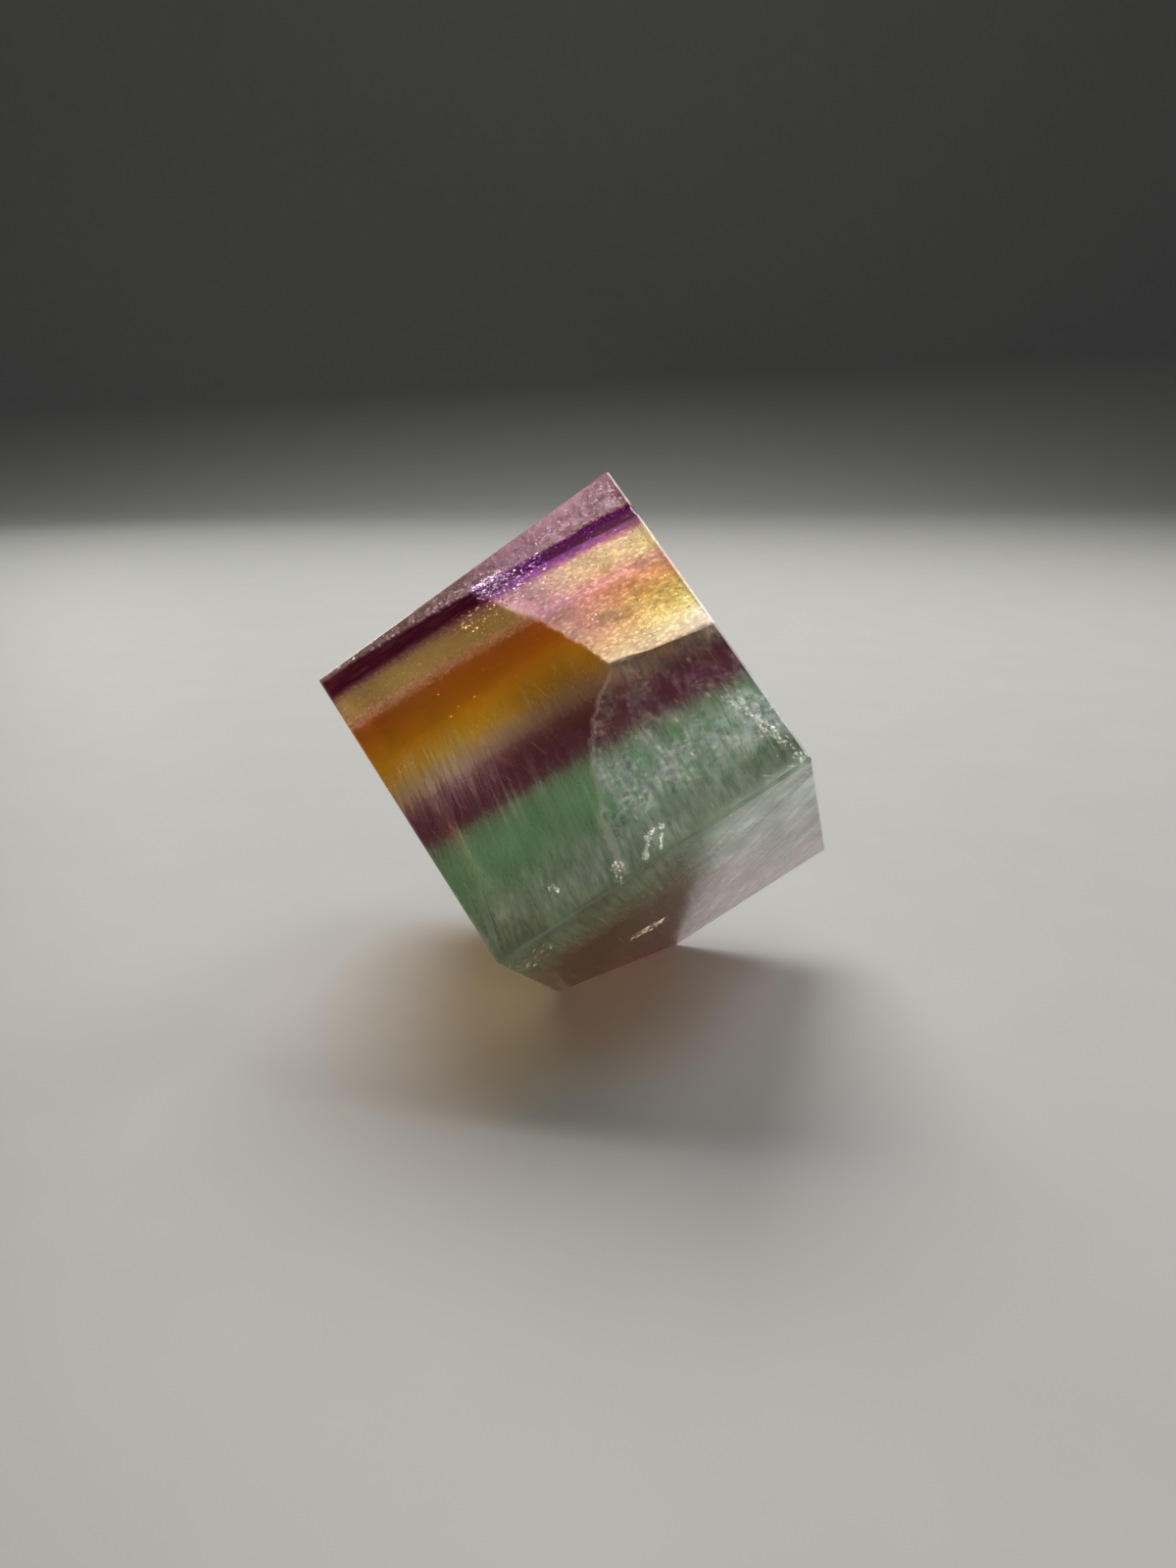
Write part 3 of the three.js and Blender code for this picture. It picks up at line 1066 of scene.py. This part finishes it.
# The body colour of each layer, as the light that is left of white after 40 mm of it.
ZONES = [
    ("lavender", -0.25, 0.021, (0.92, 0.82, 0.89)),
    ("purple", 0.021, 0.078, (0.30, 0.02, 0.22)),
    ("straw", 0.078, 0.178, (0.97, 0.86, 0.52)),
    ("mauve", 0.178, 0.203, (0.78, 0.50, 0.46)),
    ("rust", 0.203, 0.256, (0.815, 0.42, 0.08)),
    ("honey", 0.256, 0.290, (0.87, 0.56, 0.09)),
    ("amber", 0.290, 0.410, (0.92, 0.68, 0.10)),
    ("beige", 0.410, 0.480, (0.80, 0.62, 0.48)),
    ("maroon", 0.480, 0.628, (0.55, 0.29, 0.35)),
    ("green", 0.628, 0.870, (0.66, 0.82, 0.64)),
    ("mist", 0.870, 1.060, (0.76, 0.84, 0.76)),
    ("lilac", 1.060, 1.230, (0.78, 0.64, 0.75)),
    ("plum", 1.230, 1.60, (0.50, 0.26, 0.36)),
]
# How much smaller than the stone the zones are, the gap between them and the depth that their
# colours are given for. Each zone's faces are grids of so many cells, this far to each side.
ZONE_INSET = 0.992
ZONE_GAP = 0.02 * MM
FULL_DEPTH = 40 * MM
ZONE_CELLS = 36
ZONE_REACH = 30 * MM
# Two ripples, long and short, and how high they are in the upper and in the lower zones.
RIPPLE_LONG, RIPPLE_SHORT = 9 * MM, 3.5 * MM
RIPPLE_HIGH, RIPPLE_MORE = 0.30 * MM, 0.9 * MM


def band_height(level, across, back):
    """How far down the stone, in metres from its middle, a band level lies at a place."""
    share = band_down(level, across / WIDTH + 0.5, back / DEPTH + 0.5)
    place = Vector((across, level * 0.05, back))
    ripple = noise.noise(place / RIPPLE_LONG) + 0.5 * noise.noise(place / RIPPLE_SHORT)
    return (share - 0.5) * HEIGHT + (RIPPLE_HIGH + RIPPLE_MORE * share_between(level, 0.3, 0.6)) * ripple


def zone_material(name, through):
    """Clear stone that only takes colours out of the light, down to through over the full depth."""
    material = bpy.data.materials.new(name)
    material.use_nodes = True
    net = Net(material.node_tree)
    nodes = material.node_tree.nodes
    nodes.remove(nodes["Principled BSDF"])
    clear = net.add("ShaderNodeBsdfTransparent", {"Color": (1, 1, 1)})
    net.feed(nodes["Material Output"].inputs["Surface"], clear.outputs[0])
    lost = [-math.log(share) / FULL_DEPTH for share in through]
    density = max(lost)
    tint = [1 - value / density for value in lost]
    veil = net.add("ShaderNodeVolumeAbsorption", {"Color": tint, "Density": density})
    net.feed(nodes["Material Output"].inputs["Volume"], veil.outputs[0])
    return material


def make_zone(name, low, high, through, blank):
    """One closed layer of the stone between two band levels."""
    body = bmesh.new()
    cells = {"x_segments": ZONE_CELLS, "y_segments": ZONE_CELLS}
    flat = bmesh.ops.create_grid(body, **cells, size=ZONE_REACH)["verts"]
    bmesh.ops.rotate(body, verts=flat, matrix=Matrix.Rotation(math.pi / 2, 3, "X"))
    grown = bmesh.ops.extrude_face_region(body, geom=body.faces[:], use_keep_orig=True)["geom"]
    high_side = {item for item in grown if isinstance(item, bmesh.types.BMVert)}
    for vert in body.verts:
        level, gap = (high, -ZONE_GAP) if vert in high_side else (low, ZONE_GAP)
        vert.co.y = band_height(level, vert.co.x, vert.co.z) + gap / 2
    bmesh.ops.recalc_face_normals(body, faces=body.faces[:])
    zone = mesh_object(name + "_zone", body, zone_material(name + "_growth", through))
    cut = zone.modifiers.new("cut", "BOOLEAN")
    cut.operation = "INTERSECT"
    cut.solver = "EXACT"
    cut.object = blank
    depsgraph = bpy.context.evaluated_depsgraph_get()
    mesh = bpy.data.meshes.new_from_object(zone.evaluated_get(depsgraph))
    zone.modifiers.clear()
    zone.data = mesh
    mesh.transform(STONE_PLACE)
    keep_in_stone(zone)


def make_zones():
    """The layers of the stone, each cut to its shape."""
    body = ground_solid()
    lay_square(body)
    bmesh.ops.scale(body, vec=(ZONE_INSET, ZONE_INSET, ZONE_INSET), verts=body.verts[:])
    blank = mesh_object("blank", body)
    for zone in ZONES:
        make_zone(*zone, blank)
    bpy.data.objects.remove(blank)


# ---------------------------------------------------------------- cracks

# The left edge of the big crack on the front face: (share down, share across).
CRACK_LEFT = [
    (0.0, 0.47),
    (0.074, 0.517),
    (0.24, 0.614),
    (0.42, 0.690),
    (0.485, 0.706),
    (0.510, 0.672),
    (0.540, 0.628),
    (0.580, 0.583),
    (0.630, 0.545),
    (0.690, 0.513),
    (0.750, 0.484),
    (0.810, 0.458),
    (0.860, 0.442),
    (0.913, 0.431),
    (1.0, 0.430),
]
# The step that parts the bright upper wall of the crack from the dim lower one: (across, down).
CRACK_STEP = [(0.0, 0.30), (0.62, 0.470), (0.70, 0.486), (0.79, 0.508), (0.90, 0.528), (1.0, 0.550)]
# How far across the walls run, a little past the stone, which cuts them off there.
CRACK_RIGHT = 1.03
# How far the walls run past the left edge, where their material fades them out along its jags.
CRACK_SPARE = 0.03
CRACK_TOP_LEVEL = 0.023
CRACK_LOWEST = 0.955
# How far a thing under the front face seems to sink down it, per depth, on the usual sight line.
SIGHT_FALL = 0.248
# The cells of each wall, across and down, and how far its coarse and fine crumples stand proud.
OPEN_CELLS, HEALED_CELLS = (170, 130), (90, 80)
OPEN_CRUMPLE = 0.15 * MM, 0.020 * MM
HEALED_CRUMPLE = 0.5 * MM, 0.12 * MM
VEIL_CRUMPLE = 0.3 * MM, 0.10 * MM
# How large the coarse crumples are, and the fine ones each way.
COARSE_SIZE = 3.1 * MM
FINE_SIZES = 0.85 * MM, 0.55 * MM, 1.0 * MM
FINE_START = Vector((7, 3, 1))


def along(points, place):
    """The height of a run of points over place, in straight stretches."""
    for (start, low), (end, high) in zip(points, points[1:]):
        if place <= end:
            return low + (high - low) * share_between(place, start, end)
    return points[-1][1]


def crumple(place, coarse, fine):
    """How far a crack's wall stands proud at a place, in metres."""
    in_cells = Vector([way / size for way, size in zip(place, FINE_SIZES)])
    return coarse * noise.noise(place / COARSE_SIZE) + fine * noise.noise(in_cells + FINE_START)


def crack_spot(top, bottom, rightward, fall):
    """Where a share rightward and a share of the fall lie on the wall, as shares across and down."""
    across = CRACK_RIGHT
    for _ in range(2):
        down = top(across) * (1 - fall) + bottom(across) * fall
        left = along(CRACK_LEFT, down) - CRACK_SPARE
        across = left + (CRACK_RIGHT - left) * rightward
    return across, down


def make_crack_wall(name, material, cells, top, bottom, depth, crumples):
    """An open sheet inside the stone from the crack's left edge to the stone's right face."""
    body = bmesh.new()
    bmesh.ops.create_grid(body, x_segments=cells[0], y_segments=cells[1], size=0.5)
    for vert in body.verts:
        across, down = crack_spot(top, bottom, vert.co.x + 0.5, 0.5 - vert.co.y)
        deep = depth(across, down)
        spot = in_stone(across, down - SIGHT_FALL * deep / HEIGHT, deep)
        vert.co = spot + Vector((0, 0, crumple(spot, *crumples)))
    stand_up(name, body, material)


def purple_edge(across):
    """How far down the front face the purple starts, which is where the open crack ends."""
    return band_down(CRACK_TOP_LEVEL, across, 0)


def step_edge(across):
    """How far down the crack's step lies."""
    return along(CRACK_STEP, across)


def lowest_edge(across):
    """How far down the healed crack reaches, all the way across."""
    return CRACK_LOWEST


# How deep the open crack lies at its step, and how fast it sinks above that, first and higher up, and
# towards the right. The slopes are in metres over the whole height or width of the front face.
STEP_DEPTH = 0.6 * MM
LOW_SLOPE, HIGH_SLOPE, SIDE_SLOPE = 27.0 * MM, 21.0 * MM, 4.5 * MM
LOW_PART = 0.12
SIDE_START, SIDE_LEAST = 0.62, -0.12


def open_depth(across, down):
    """How deep the upper wall of the open crack lies: it slopes in from the step upwards."""
    above = max(step_edge(across) - down, 0)
    slope = LOW_SLOPE * min(above, LOW_PART) + HIGH_SLOPE * max(above - LOW_PART, 0)
    return STEP_DEPTH + slope + SIDE_SLOPE * max(across - SIDE_START, SIDE_LEAST)


# How deep the healed crack lies at the left, and how much deeper at the right.
HEALED_DEPTH, HEALED_SINK = 0.7 * MM, 4.0 * MM


def healed_depth(across, down):
    """How deep the healed crack lies: it sinks towards the right, and less so low down."""
    sunk = share_between(across, 0.45, 1.0) * (1 - share_between(down, 0.5, 1.0))
    return HEALED_DEPTH + HEALED_SINK * sunk


# What the walls are made of: the pale colour they tend to, the share of the bands' own colour, how
# metallic and how rough they are, and at which height of their patches they show or leave a gap.
BRIGHT_WALL = (0.98, 0.94, 0.90), 0.85, 0.22, 0.42, 0.34, 0.20
DIM_WALL = (0.80, 0.91, 0.86), 0.6, 0.3, 0.45, 0.55, 0.40


def make_cracks(growth_bands):
    """The bright wall of the open crack, and the dim one of the healed crack below its step."""
    bright = crack_material("bright_crack_wall", growth_bands, *BRIGHT_WALL)
    make_crack_wall("open_crack", bright, OPEN_CELLS, purple_edge, step_edge, open_depth, OPEN_CRUMPLE)
    dim = crack_material("healed_crack_wall", growth_bands, *DIM_WALL)
    make_crack_wall("healed_crack", dim, HEALED_CELLS, step_edge, lowest_edge, healed_depth, HEALED_CRUMPLE)


# How deep the veil lies under the lower face, and its cells each way.
VEIL_DEPTH = 0.35 * MM
VEIL_CELLS = 110


def make_low_veil(low_veil):
    """The milky sheet that lies just under the stone's lower face."""
    material, net, surface, _ = bare_material("milky_veil")
    look = net.group(low_veil)
    net.feed_all(surface.inputs, {"Base Color": look["Colour"], "Alpha": look["Cover"]})
    net.feed_all(surface.inputs, {"Roughness": 0.6, "Specular IOR Level": 0.1})
    face = low_face()
    body = bmesh.new()
    bmesh.ops.create_grid(body, x_segments=VEIL_CELLS, y_segments=VEIL_CELLS, size=0.5)
    for vert in body.verts:
        spot = under_low_face(face, vert.co.x + 0.5, vert.co.y + 0.5, VEIL_DEPTH)
        spot.y -= abs(crumple(Vector((spot.x, spot.z, 0)), *VEIL_CRUMPLE))
        vert.co = spot
    bmesh.ops.recalc_face_normals(body, faces=body.faces[:])
    stand_up("low_veil", body, material)


# ---------------------------------------------------------------- flakes


def flake_material(name, growth_bands, pale, metal, rough, cover):
    """A tiny cleavage face that catches the light, tinted by the band it lies in."""
    material, net, surface, _ = bare_material(name)
    bands = net.group(growth_bands)
    speckle = net.noise(bands["Point"], 3.0, 2)
    keys = {
        "Base Color": net.mix(net.between(speckle, 0.3, 0.7, cover, 1.0), bands["Colour"], pale),
        "Metallic": metal,
        "Roughness": net.between(speckle, 0.3, 0.7, rough * 0.6, rough * 1.5),
        "IOR": REFRACTION,
    }
    net.feed_all(surface.inputs, keys)
    return material


# The ways flakes lie, each as the line of the stone's frame that they are square to: as the stone
# cleaves, flat under the lower face, and so that they mirror the weak lamp out of the lower face or
# out of the front one.
CLEAVAGE = Vector((0.34, -0.58, -0.74))
UNDER_FACE = Vector((0, 1, 0))
LOW_CLEAVAGE = Vector((0.22, 0.81, -0.55))
FRONT_GLINT = Vector((0.22, 0.32, -0.92))
# The ways threads run: down the stone, slantwise as the fibres of the lowest bands, and backwards,
# straight or more or less to one side.
DOWN_STONE = Vector((-0.12, 1, 0))
ALONG_FIBRES = Vector((0.83, 0, -0.55))
BACKWARDS_LEFT = Vector((-0.1, 0, 1))
BACKWARDS = Vector((0.1, 0, 1))
BACKWARDS_RIGHT = Vector((0.2, 0, 1))
BACKWARDS_ASLANT = Vector((0.5, 0, 1))
# How far threads stray from their way.
THREAD_LOOSE = 0.06


def gauss_vector(dice, spread):
    return Vector([dice.gauss(0, spread) for _ in range(3)])


def make_flakes(name, material, spots, sizes, seed, lie, loose, long_side=None, stretch=1.0):
    """Tiny five-sided flakes square to lie, give or take loose, joined in one piece.

    Their sizes are in millimetres. Threads are flakes that are stretched along long_side."""
    dice = random.Random(seed)
    body = bmesh.new()
    for spot in spots:
        rise = (lie + gauss_vector(dice, loose)).normalized()
        if long_side:
            reach = (long_side + gauss_vector(dice, THREAD_LOOSE)).normalized()
            reach = (reach - rise * reach.dot(rise)).normalized()
        else:
            reach = Quaternion(rise, dice.uniform(0, math.tau)) @ rise.orthogonal().normalized()
        turn = Matrix((reach, rise.cross(reach), rise)).transposed().to_4x4()
        shape = Matrix.Diagonal((dice.uniform(0.6, 1.3) * stretch, dice.uniform(0.5, 1.0), 1, 1))
        place = Matrix.Translation(spot) @ turn @ shape
        radius = dice.uniform(*sizes) * MM
        bmesh.ops.create_circle(body, cap_ends=True, segments=5, radius=radius, matrix=place)
    stand_up(name, body, material)


# Nothing is laid nearer to the top of the front face than this share of its height.
TOP_MARGIN = 0.008
# The depths that bruises lie at.
BRUISE_DEPTH = 0.15 * MM, 0.45 * MM


def scattered(count, seed, across, down, depth):
    """Random places under the front face, in ranges of shares across and down and of depth in mm."""
    dice = random.Random(seed)
    for _ in range(count):
        deep = dice.uniform(*depth) * MM
        yield in_stone(dice.uniform(*across), dice.uniform(*down) - SIGHT_FALL * deep / HEIGHT, deep)


def in_layer(count, seed, across, level, depth):
    """Random places inside one band, in ranges of shares across and of band level, and of depth in mm."""
    dice = random.Random(seed)
    for _ in range(count):
        deep = dice.uniform(*depth) * MM
        place = dice.uniform(*across)
        down = band_down(dice.uniform(*level), place, deep / DEPTH)
        if down > TOP_MARGIN:
            yield in_stone(place, down, deep)


def under_strip(count, seed, across, back, depth):
    """Random places over the stone's lower face, in shares across and back and at a depth in mm."""
    dice = random.Random(seed)
    face = low_face()
    for _ in range(count):
        deep = dice.uniform(*depth) * MM
        yield under_low_face(face, dice.uniform(*across), dice.uniform(*back), deep)


# Dark specks and one slit under the lower face, as shares across and back, and how deep they lie.
LOW_SPECKS = [(0.583, 0.51), (0.542, 0.72), (0.530, 0.74), (0.610, 0.50), (0.500, 0.90), (0.640, 0.94)]
LOW_SLIT = [(0.302, 0.345)]
SPECK_DEPTH, SLIT_DEPTH = 0.15 * MM, 0.18 * MM


def at_spots(spots, deep):
    """The given places over the stone's lower face, as shares across and back, at one depth."""
    face = low_face()
    for across, back in spots:
        yield under_low_face(face, across, back, deep)


# Each bruise is a line on the front face, as shares across and down, with the number of its flakes
# and how far they stray from it in mm.
BRUISES = [
    ([(0.490, 0.974), (0.507, 0.950), (0.526, 0.928), (0.553, 0.917), (0.575, 0.928)], 110, 0.13),
    ([(0.560, 0.945), (0.548, 0.962), (0.537, 0.975)], 16, 0.10),
    ([(0.400, 0.985), (0.412, 0.955), (0.422, 0.940)], 40, 0.25),
    ([(0.244, 0.893), (0.252, 0.912)], 16, 0.18),
    ([(0.905, 0.735), (0.925, 0.790), (0.940, 0.850), (0.955, 0.910), (0.972, 0.985)], 90, 0.20),
]


def beside_line(points, count, spread, dice):
    """Random places under the front face, straying by about spread, in mm, from a line on it."""
    for _ in range(count):
        walk = dice.uniform(0, len(points) - 1.001)
        start, end = points[int(walk)], points[int(walk) + 1]
        share = walk - int(walk)
        across = start[0] + (end[0] - start[0]) * share + dice.gauss(0, spread) * MM / WIDTH
        down = start[1] + (end[1] - start[1]) * share + dice.gauss(0, spread) * MM / HEIGHT
        yield in_stone(across, down, dice.uniform(*BRUISE_DEPTH))


def in_bruises(seed):
    """Random places along all bruises."""
    dice = random.Random(seed)
    for bruise in BRUISES:
        yield from beside_line(*bruise, dice)


# What the flakes are made of: the pale or dark colour that covers the bands' own one, how metallic
# and how rough it is, and how well it covers.
FLAKE_STUFF = {
    "frosty_grains": ((0.84, 0.68, 0.72), 0.0, 0.5, 0.4),
    "honey_grains": ((1.0, 0.76, 0.46), 0.0, 0.6, 0.6),
    "violet_glints": ((0.30, 0.08, 0.60), 0.9, 0.22, 0.5),
    "silvery_glints": ((0.95, 0.90, 1.0), 0.9, 0.20, 0.9),
    "golden_glints": ((1.0, 0.80, 0.40), 0.9, 0.20, 0.8),
    "sooty_specks": ((0.03, 0.02, 0.03), 0.0, 0.6, 0.97),
    "pale_gold_flash": ((1.0, 0.94, 0.84), 0.95, 0.10, 0.97),
    "golden_foil": ((1.0, 0.95, 0.82), 0.95, 0.12, 0.95),
    "lilac_foil": ((0.98, 0.90, 1.0), 0.95, 0.12, 0.95),
    "pale_threads": ((0.76, 0.88, 0.82), 0.1, 0.6, 0.4),
    "lilac_fibres": ((1.0, 0.88, 0.96), 0.1, 0.5, 0.7),
    "milky_fibres": ((0.94, 1.0, 0.95), 0.1, 0.5, 0.8),
    "moss_fibres": ((0.58, 0.66, 0.46), 0.1, 0.5, 0.6),
    "brown_fibres": ((0.30, 0.16, 0.11), 0.1, 0.5, 0.6),
    "pearly_bruise": ((0.96, 0.98, 0.94), 0.85, 0.24, 0.95),
}
# Each piece of flakes: its stuff, the range of their sizes in mm, its seed, how the flakes lie (square
# to what, how loosely, their long side and their stretch), and the ways to pick their places.
FLAKES = {
    # The grains that fill the top layer and the pale straw and mauve ones.
    "top_layer_grains": ("frosty_grains", (0.10, 0.26), 2, (CLEAVAGE, 0.4), [
        (in_layer, 6000, 1, (0, 1), (-0.10, 0.018), (0.3, 6)),
    ]),
    "straw_layer_grains": ("honey_grains", (0.04, 0.10), 16, (CLEAVAGE, 0.4), [
        (in_layer, 240, 14, (0, 0.6), (0.078, 0.175), (0.3, 4)),
        (in_layer, 1300, 15, (0, 0.62), (0.168, 0.205), (0.3, 7)),
    ]),
    # Single flakes that flash: in the purple, on top, at the tip of the crack, in the amber, low down.
    "violet_flakes": ("violet_glints", (0.08, 0.18), 4, (CLEAVAGE, 0.2), [
        (in_layer, 260, 3, (0.50, 1), (0.024, 0.055), (0.3, 1.2)),
    ]),
    "top_layer_glints": ("silvery_glints", (0.05, 0.13), 32, (CLEAVAGE, 0.3), [
        (in_layer, 700, 31, (0, 1), (-0.02, 0.018), (0.12, 0.5)),
    ]),
    "sparkling_tip": ("silvery_glints", (0.10, 0.26), 7, (CLEAVAGE, 0.12), [
        (scattered, 200, 5, (0.50, 0.60), (0.045, 0.095), (0.3, 1.0)),
        (scattered, 140, 6, (0.55, 0.72), (0.070, 0.13), (0.3, 1.0)),
    ]),
    "honey_glints": ("golden_glints", (0.07, 0.15), 10, (CLEAVAGE, 0.1), [
        (scattered, 16, 8, (0.20, 0.62), (0.25, 0.36), (0.4, 2.5)),
        (scattered, 90, 9, (0.42, 0.60), (0.095, 0.165), (0.3, 1.6)),
    ]),
    "low_glints": ("silvery_glints", (0.10, 0.28), 13, (CLEAVAGE, 0.2, DOWN_STONE, 1.8), [
        (scattered, 26, 11, (0.50, 0.98), (0.62, 0.93), (0.4, 3.0)),
        (scattered, 26, 12, (0.92, 0.965), (0.80, 0.98), (0.3, 0.9)),
    ]),
    # What lies just under the lower face: dark specks, a slit and sparks in two places.
    "low_specks": ("sooty_specks", (0.16, 0.32), 35, (UNDER_FACE, 0.1), [
        (at_spots, LOW_SPECKS, SPECK_DEPTH),
    ]),
    "low_slit": ("sooty_specks", (0.19, 0.20), 36, (UNDER_FACE, 0.02, BACKWARDS_LEFT, 13), [
        (at_spots, LOW_SLIT, SLIT_DEPTH),
    ]),
    "strip_sparkle": ("pale_gold_flash", (0.09, 0.17), 18, (LOW_CLEAVAGE, 0.06, ALONG_FIBRES, 2.4), [
        (under_strip, 46, 17, (0.29, 0.42), (0.575, 0.60), (0.12, 0.3)),
        (under_strip, 30, 19, (0.33, 0.42), (0.56, 0.62), (0.12, 0.3)),
        (under_strip, 30, 53, (0.02, 0.15), (0.04, 0.22), (0.12, 0.3)),
    ]),
    # Small flakes just over the open crack that mirror the light to the front.
    "crack_sparkle": ("golden_foil", (0.05, 0.12), 55, (FRONT_GLINT, 0.045), [
        (scattered, 90, 51, (0.72, 0.99), (0.20, 0.46), (0.12, 0.4)),
        (scattered, 70, 52, (0.66, 0.99), (0.150, 0.215), (0.12, 0.4)),
        (scattered, 70, 54, (0.78, 0.99), (0.40, 0.495), (0.12, 0.4)),
    ]),
    "lilac_sparkle": ("lilac_foil", (0.05, 0.13), 57, (FRONT_GLINT, 0.05), [
        (scattered, 70, 56, (0.53, 0.66), (0.085, 0.16), (0.12, 0.4)),
    ]),
    # Pale threads across the lower bands, and the fibres that show in the lower face.
    "pale_threads": ("pale_threads", (0.018, 0.04), 22, (CLEAVAGE, 0.25, DOWN_STONE, 55), [
        (scattered, 70, 20, (0.58, 0.99), (0.62, 0.97), (0.4, 5.0)),
        (scattered, 90, 21, (0.0, 0.60), (0.38, 0.66), (0.8, 7.0)),
    ]),
    "lilac_fibres": ("lilac_fibres", (0.03, 0.07), 24, (LOW_CLEAVAGE, 0.2, ALONG_FIBRES, 24), [
        (under_strip, 1700, 23, (0.40, 1), (0.20, 1), (0.15, 2.5)),
    ]),
    "milky_fibres": ("milky_fibres", (0.04, 0.08), 28, (LOW_CLEAVAGE, 0.2, BACKWARDS_ASLANT, 16), [
        (under_strip, 700, 27, (0.55, 1), (0.02, 0.34), (0.15, 1.5)),
    ]),
    "moss_fibres": ("moss_fibres", (0.03, 0.07), 26, (LOW_CLEAVAGE, 0.2, BACKWARDS, 20), [
        (under_strip, 1200, 25, (0, 0.75), (0, 0.36), (0.2, 2.0)),
    ]),
    "brown_fibres": ("brown_fibres", (0.04, 0.09), 30, (LOW_CLEAVAGE, 0.2, BACKWARDS_RIGHT, 14), [
        (under_strip, 260, 29, (0, 0.5), (0.28, 1), (0.2, 2.5)),
    ]),
    "bruises": ("pearly_bruise", (0.10, 0.24), 41, (FRONT_GLINT, 0.07), [
        (in_bruises, 40),
    ]),
}


def make_all_flakes(growth_bands):
    """Makes every piece of flakes and threads in the stone."""
    materials = {name: flake_material(name, growth_bands, *look) for name, look in FLAKE_STUFF.items()}
    for name, (stuff, sizes, seed, how, ways) in FLAKES.items():
        spots = [spot for pick, *facts in ways for spot in pick(*facts)]
        make_flakes(name, materials[stuff], spots, sizes, seed, *how)


def main():
    make_camera()
    make_lights()
    make_stage(floor_material())
    growth_bands = growth_bands_group(stone_point_group())
    low_veil = low_veil_group(growth_bands)
    make_stone(fluorite_material(growth_bands, low_veil))
    make_zones()
    make_cracks(growth_bands)
    make_low_veil(low_veil)
    make_all_flakes(growth_bands)


main()
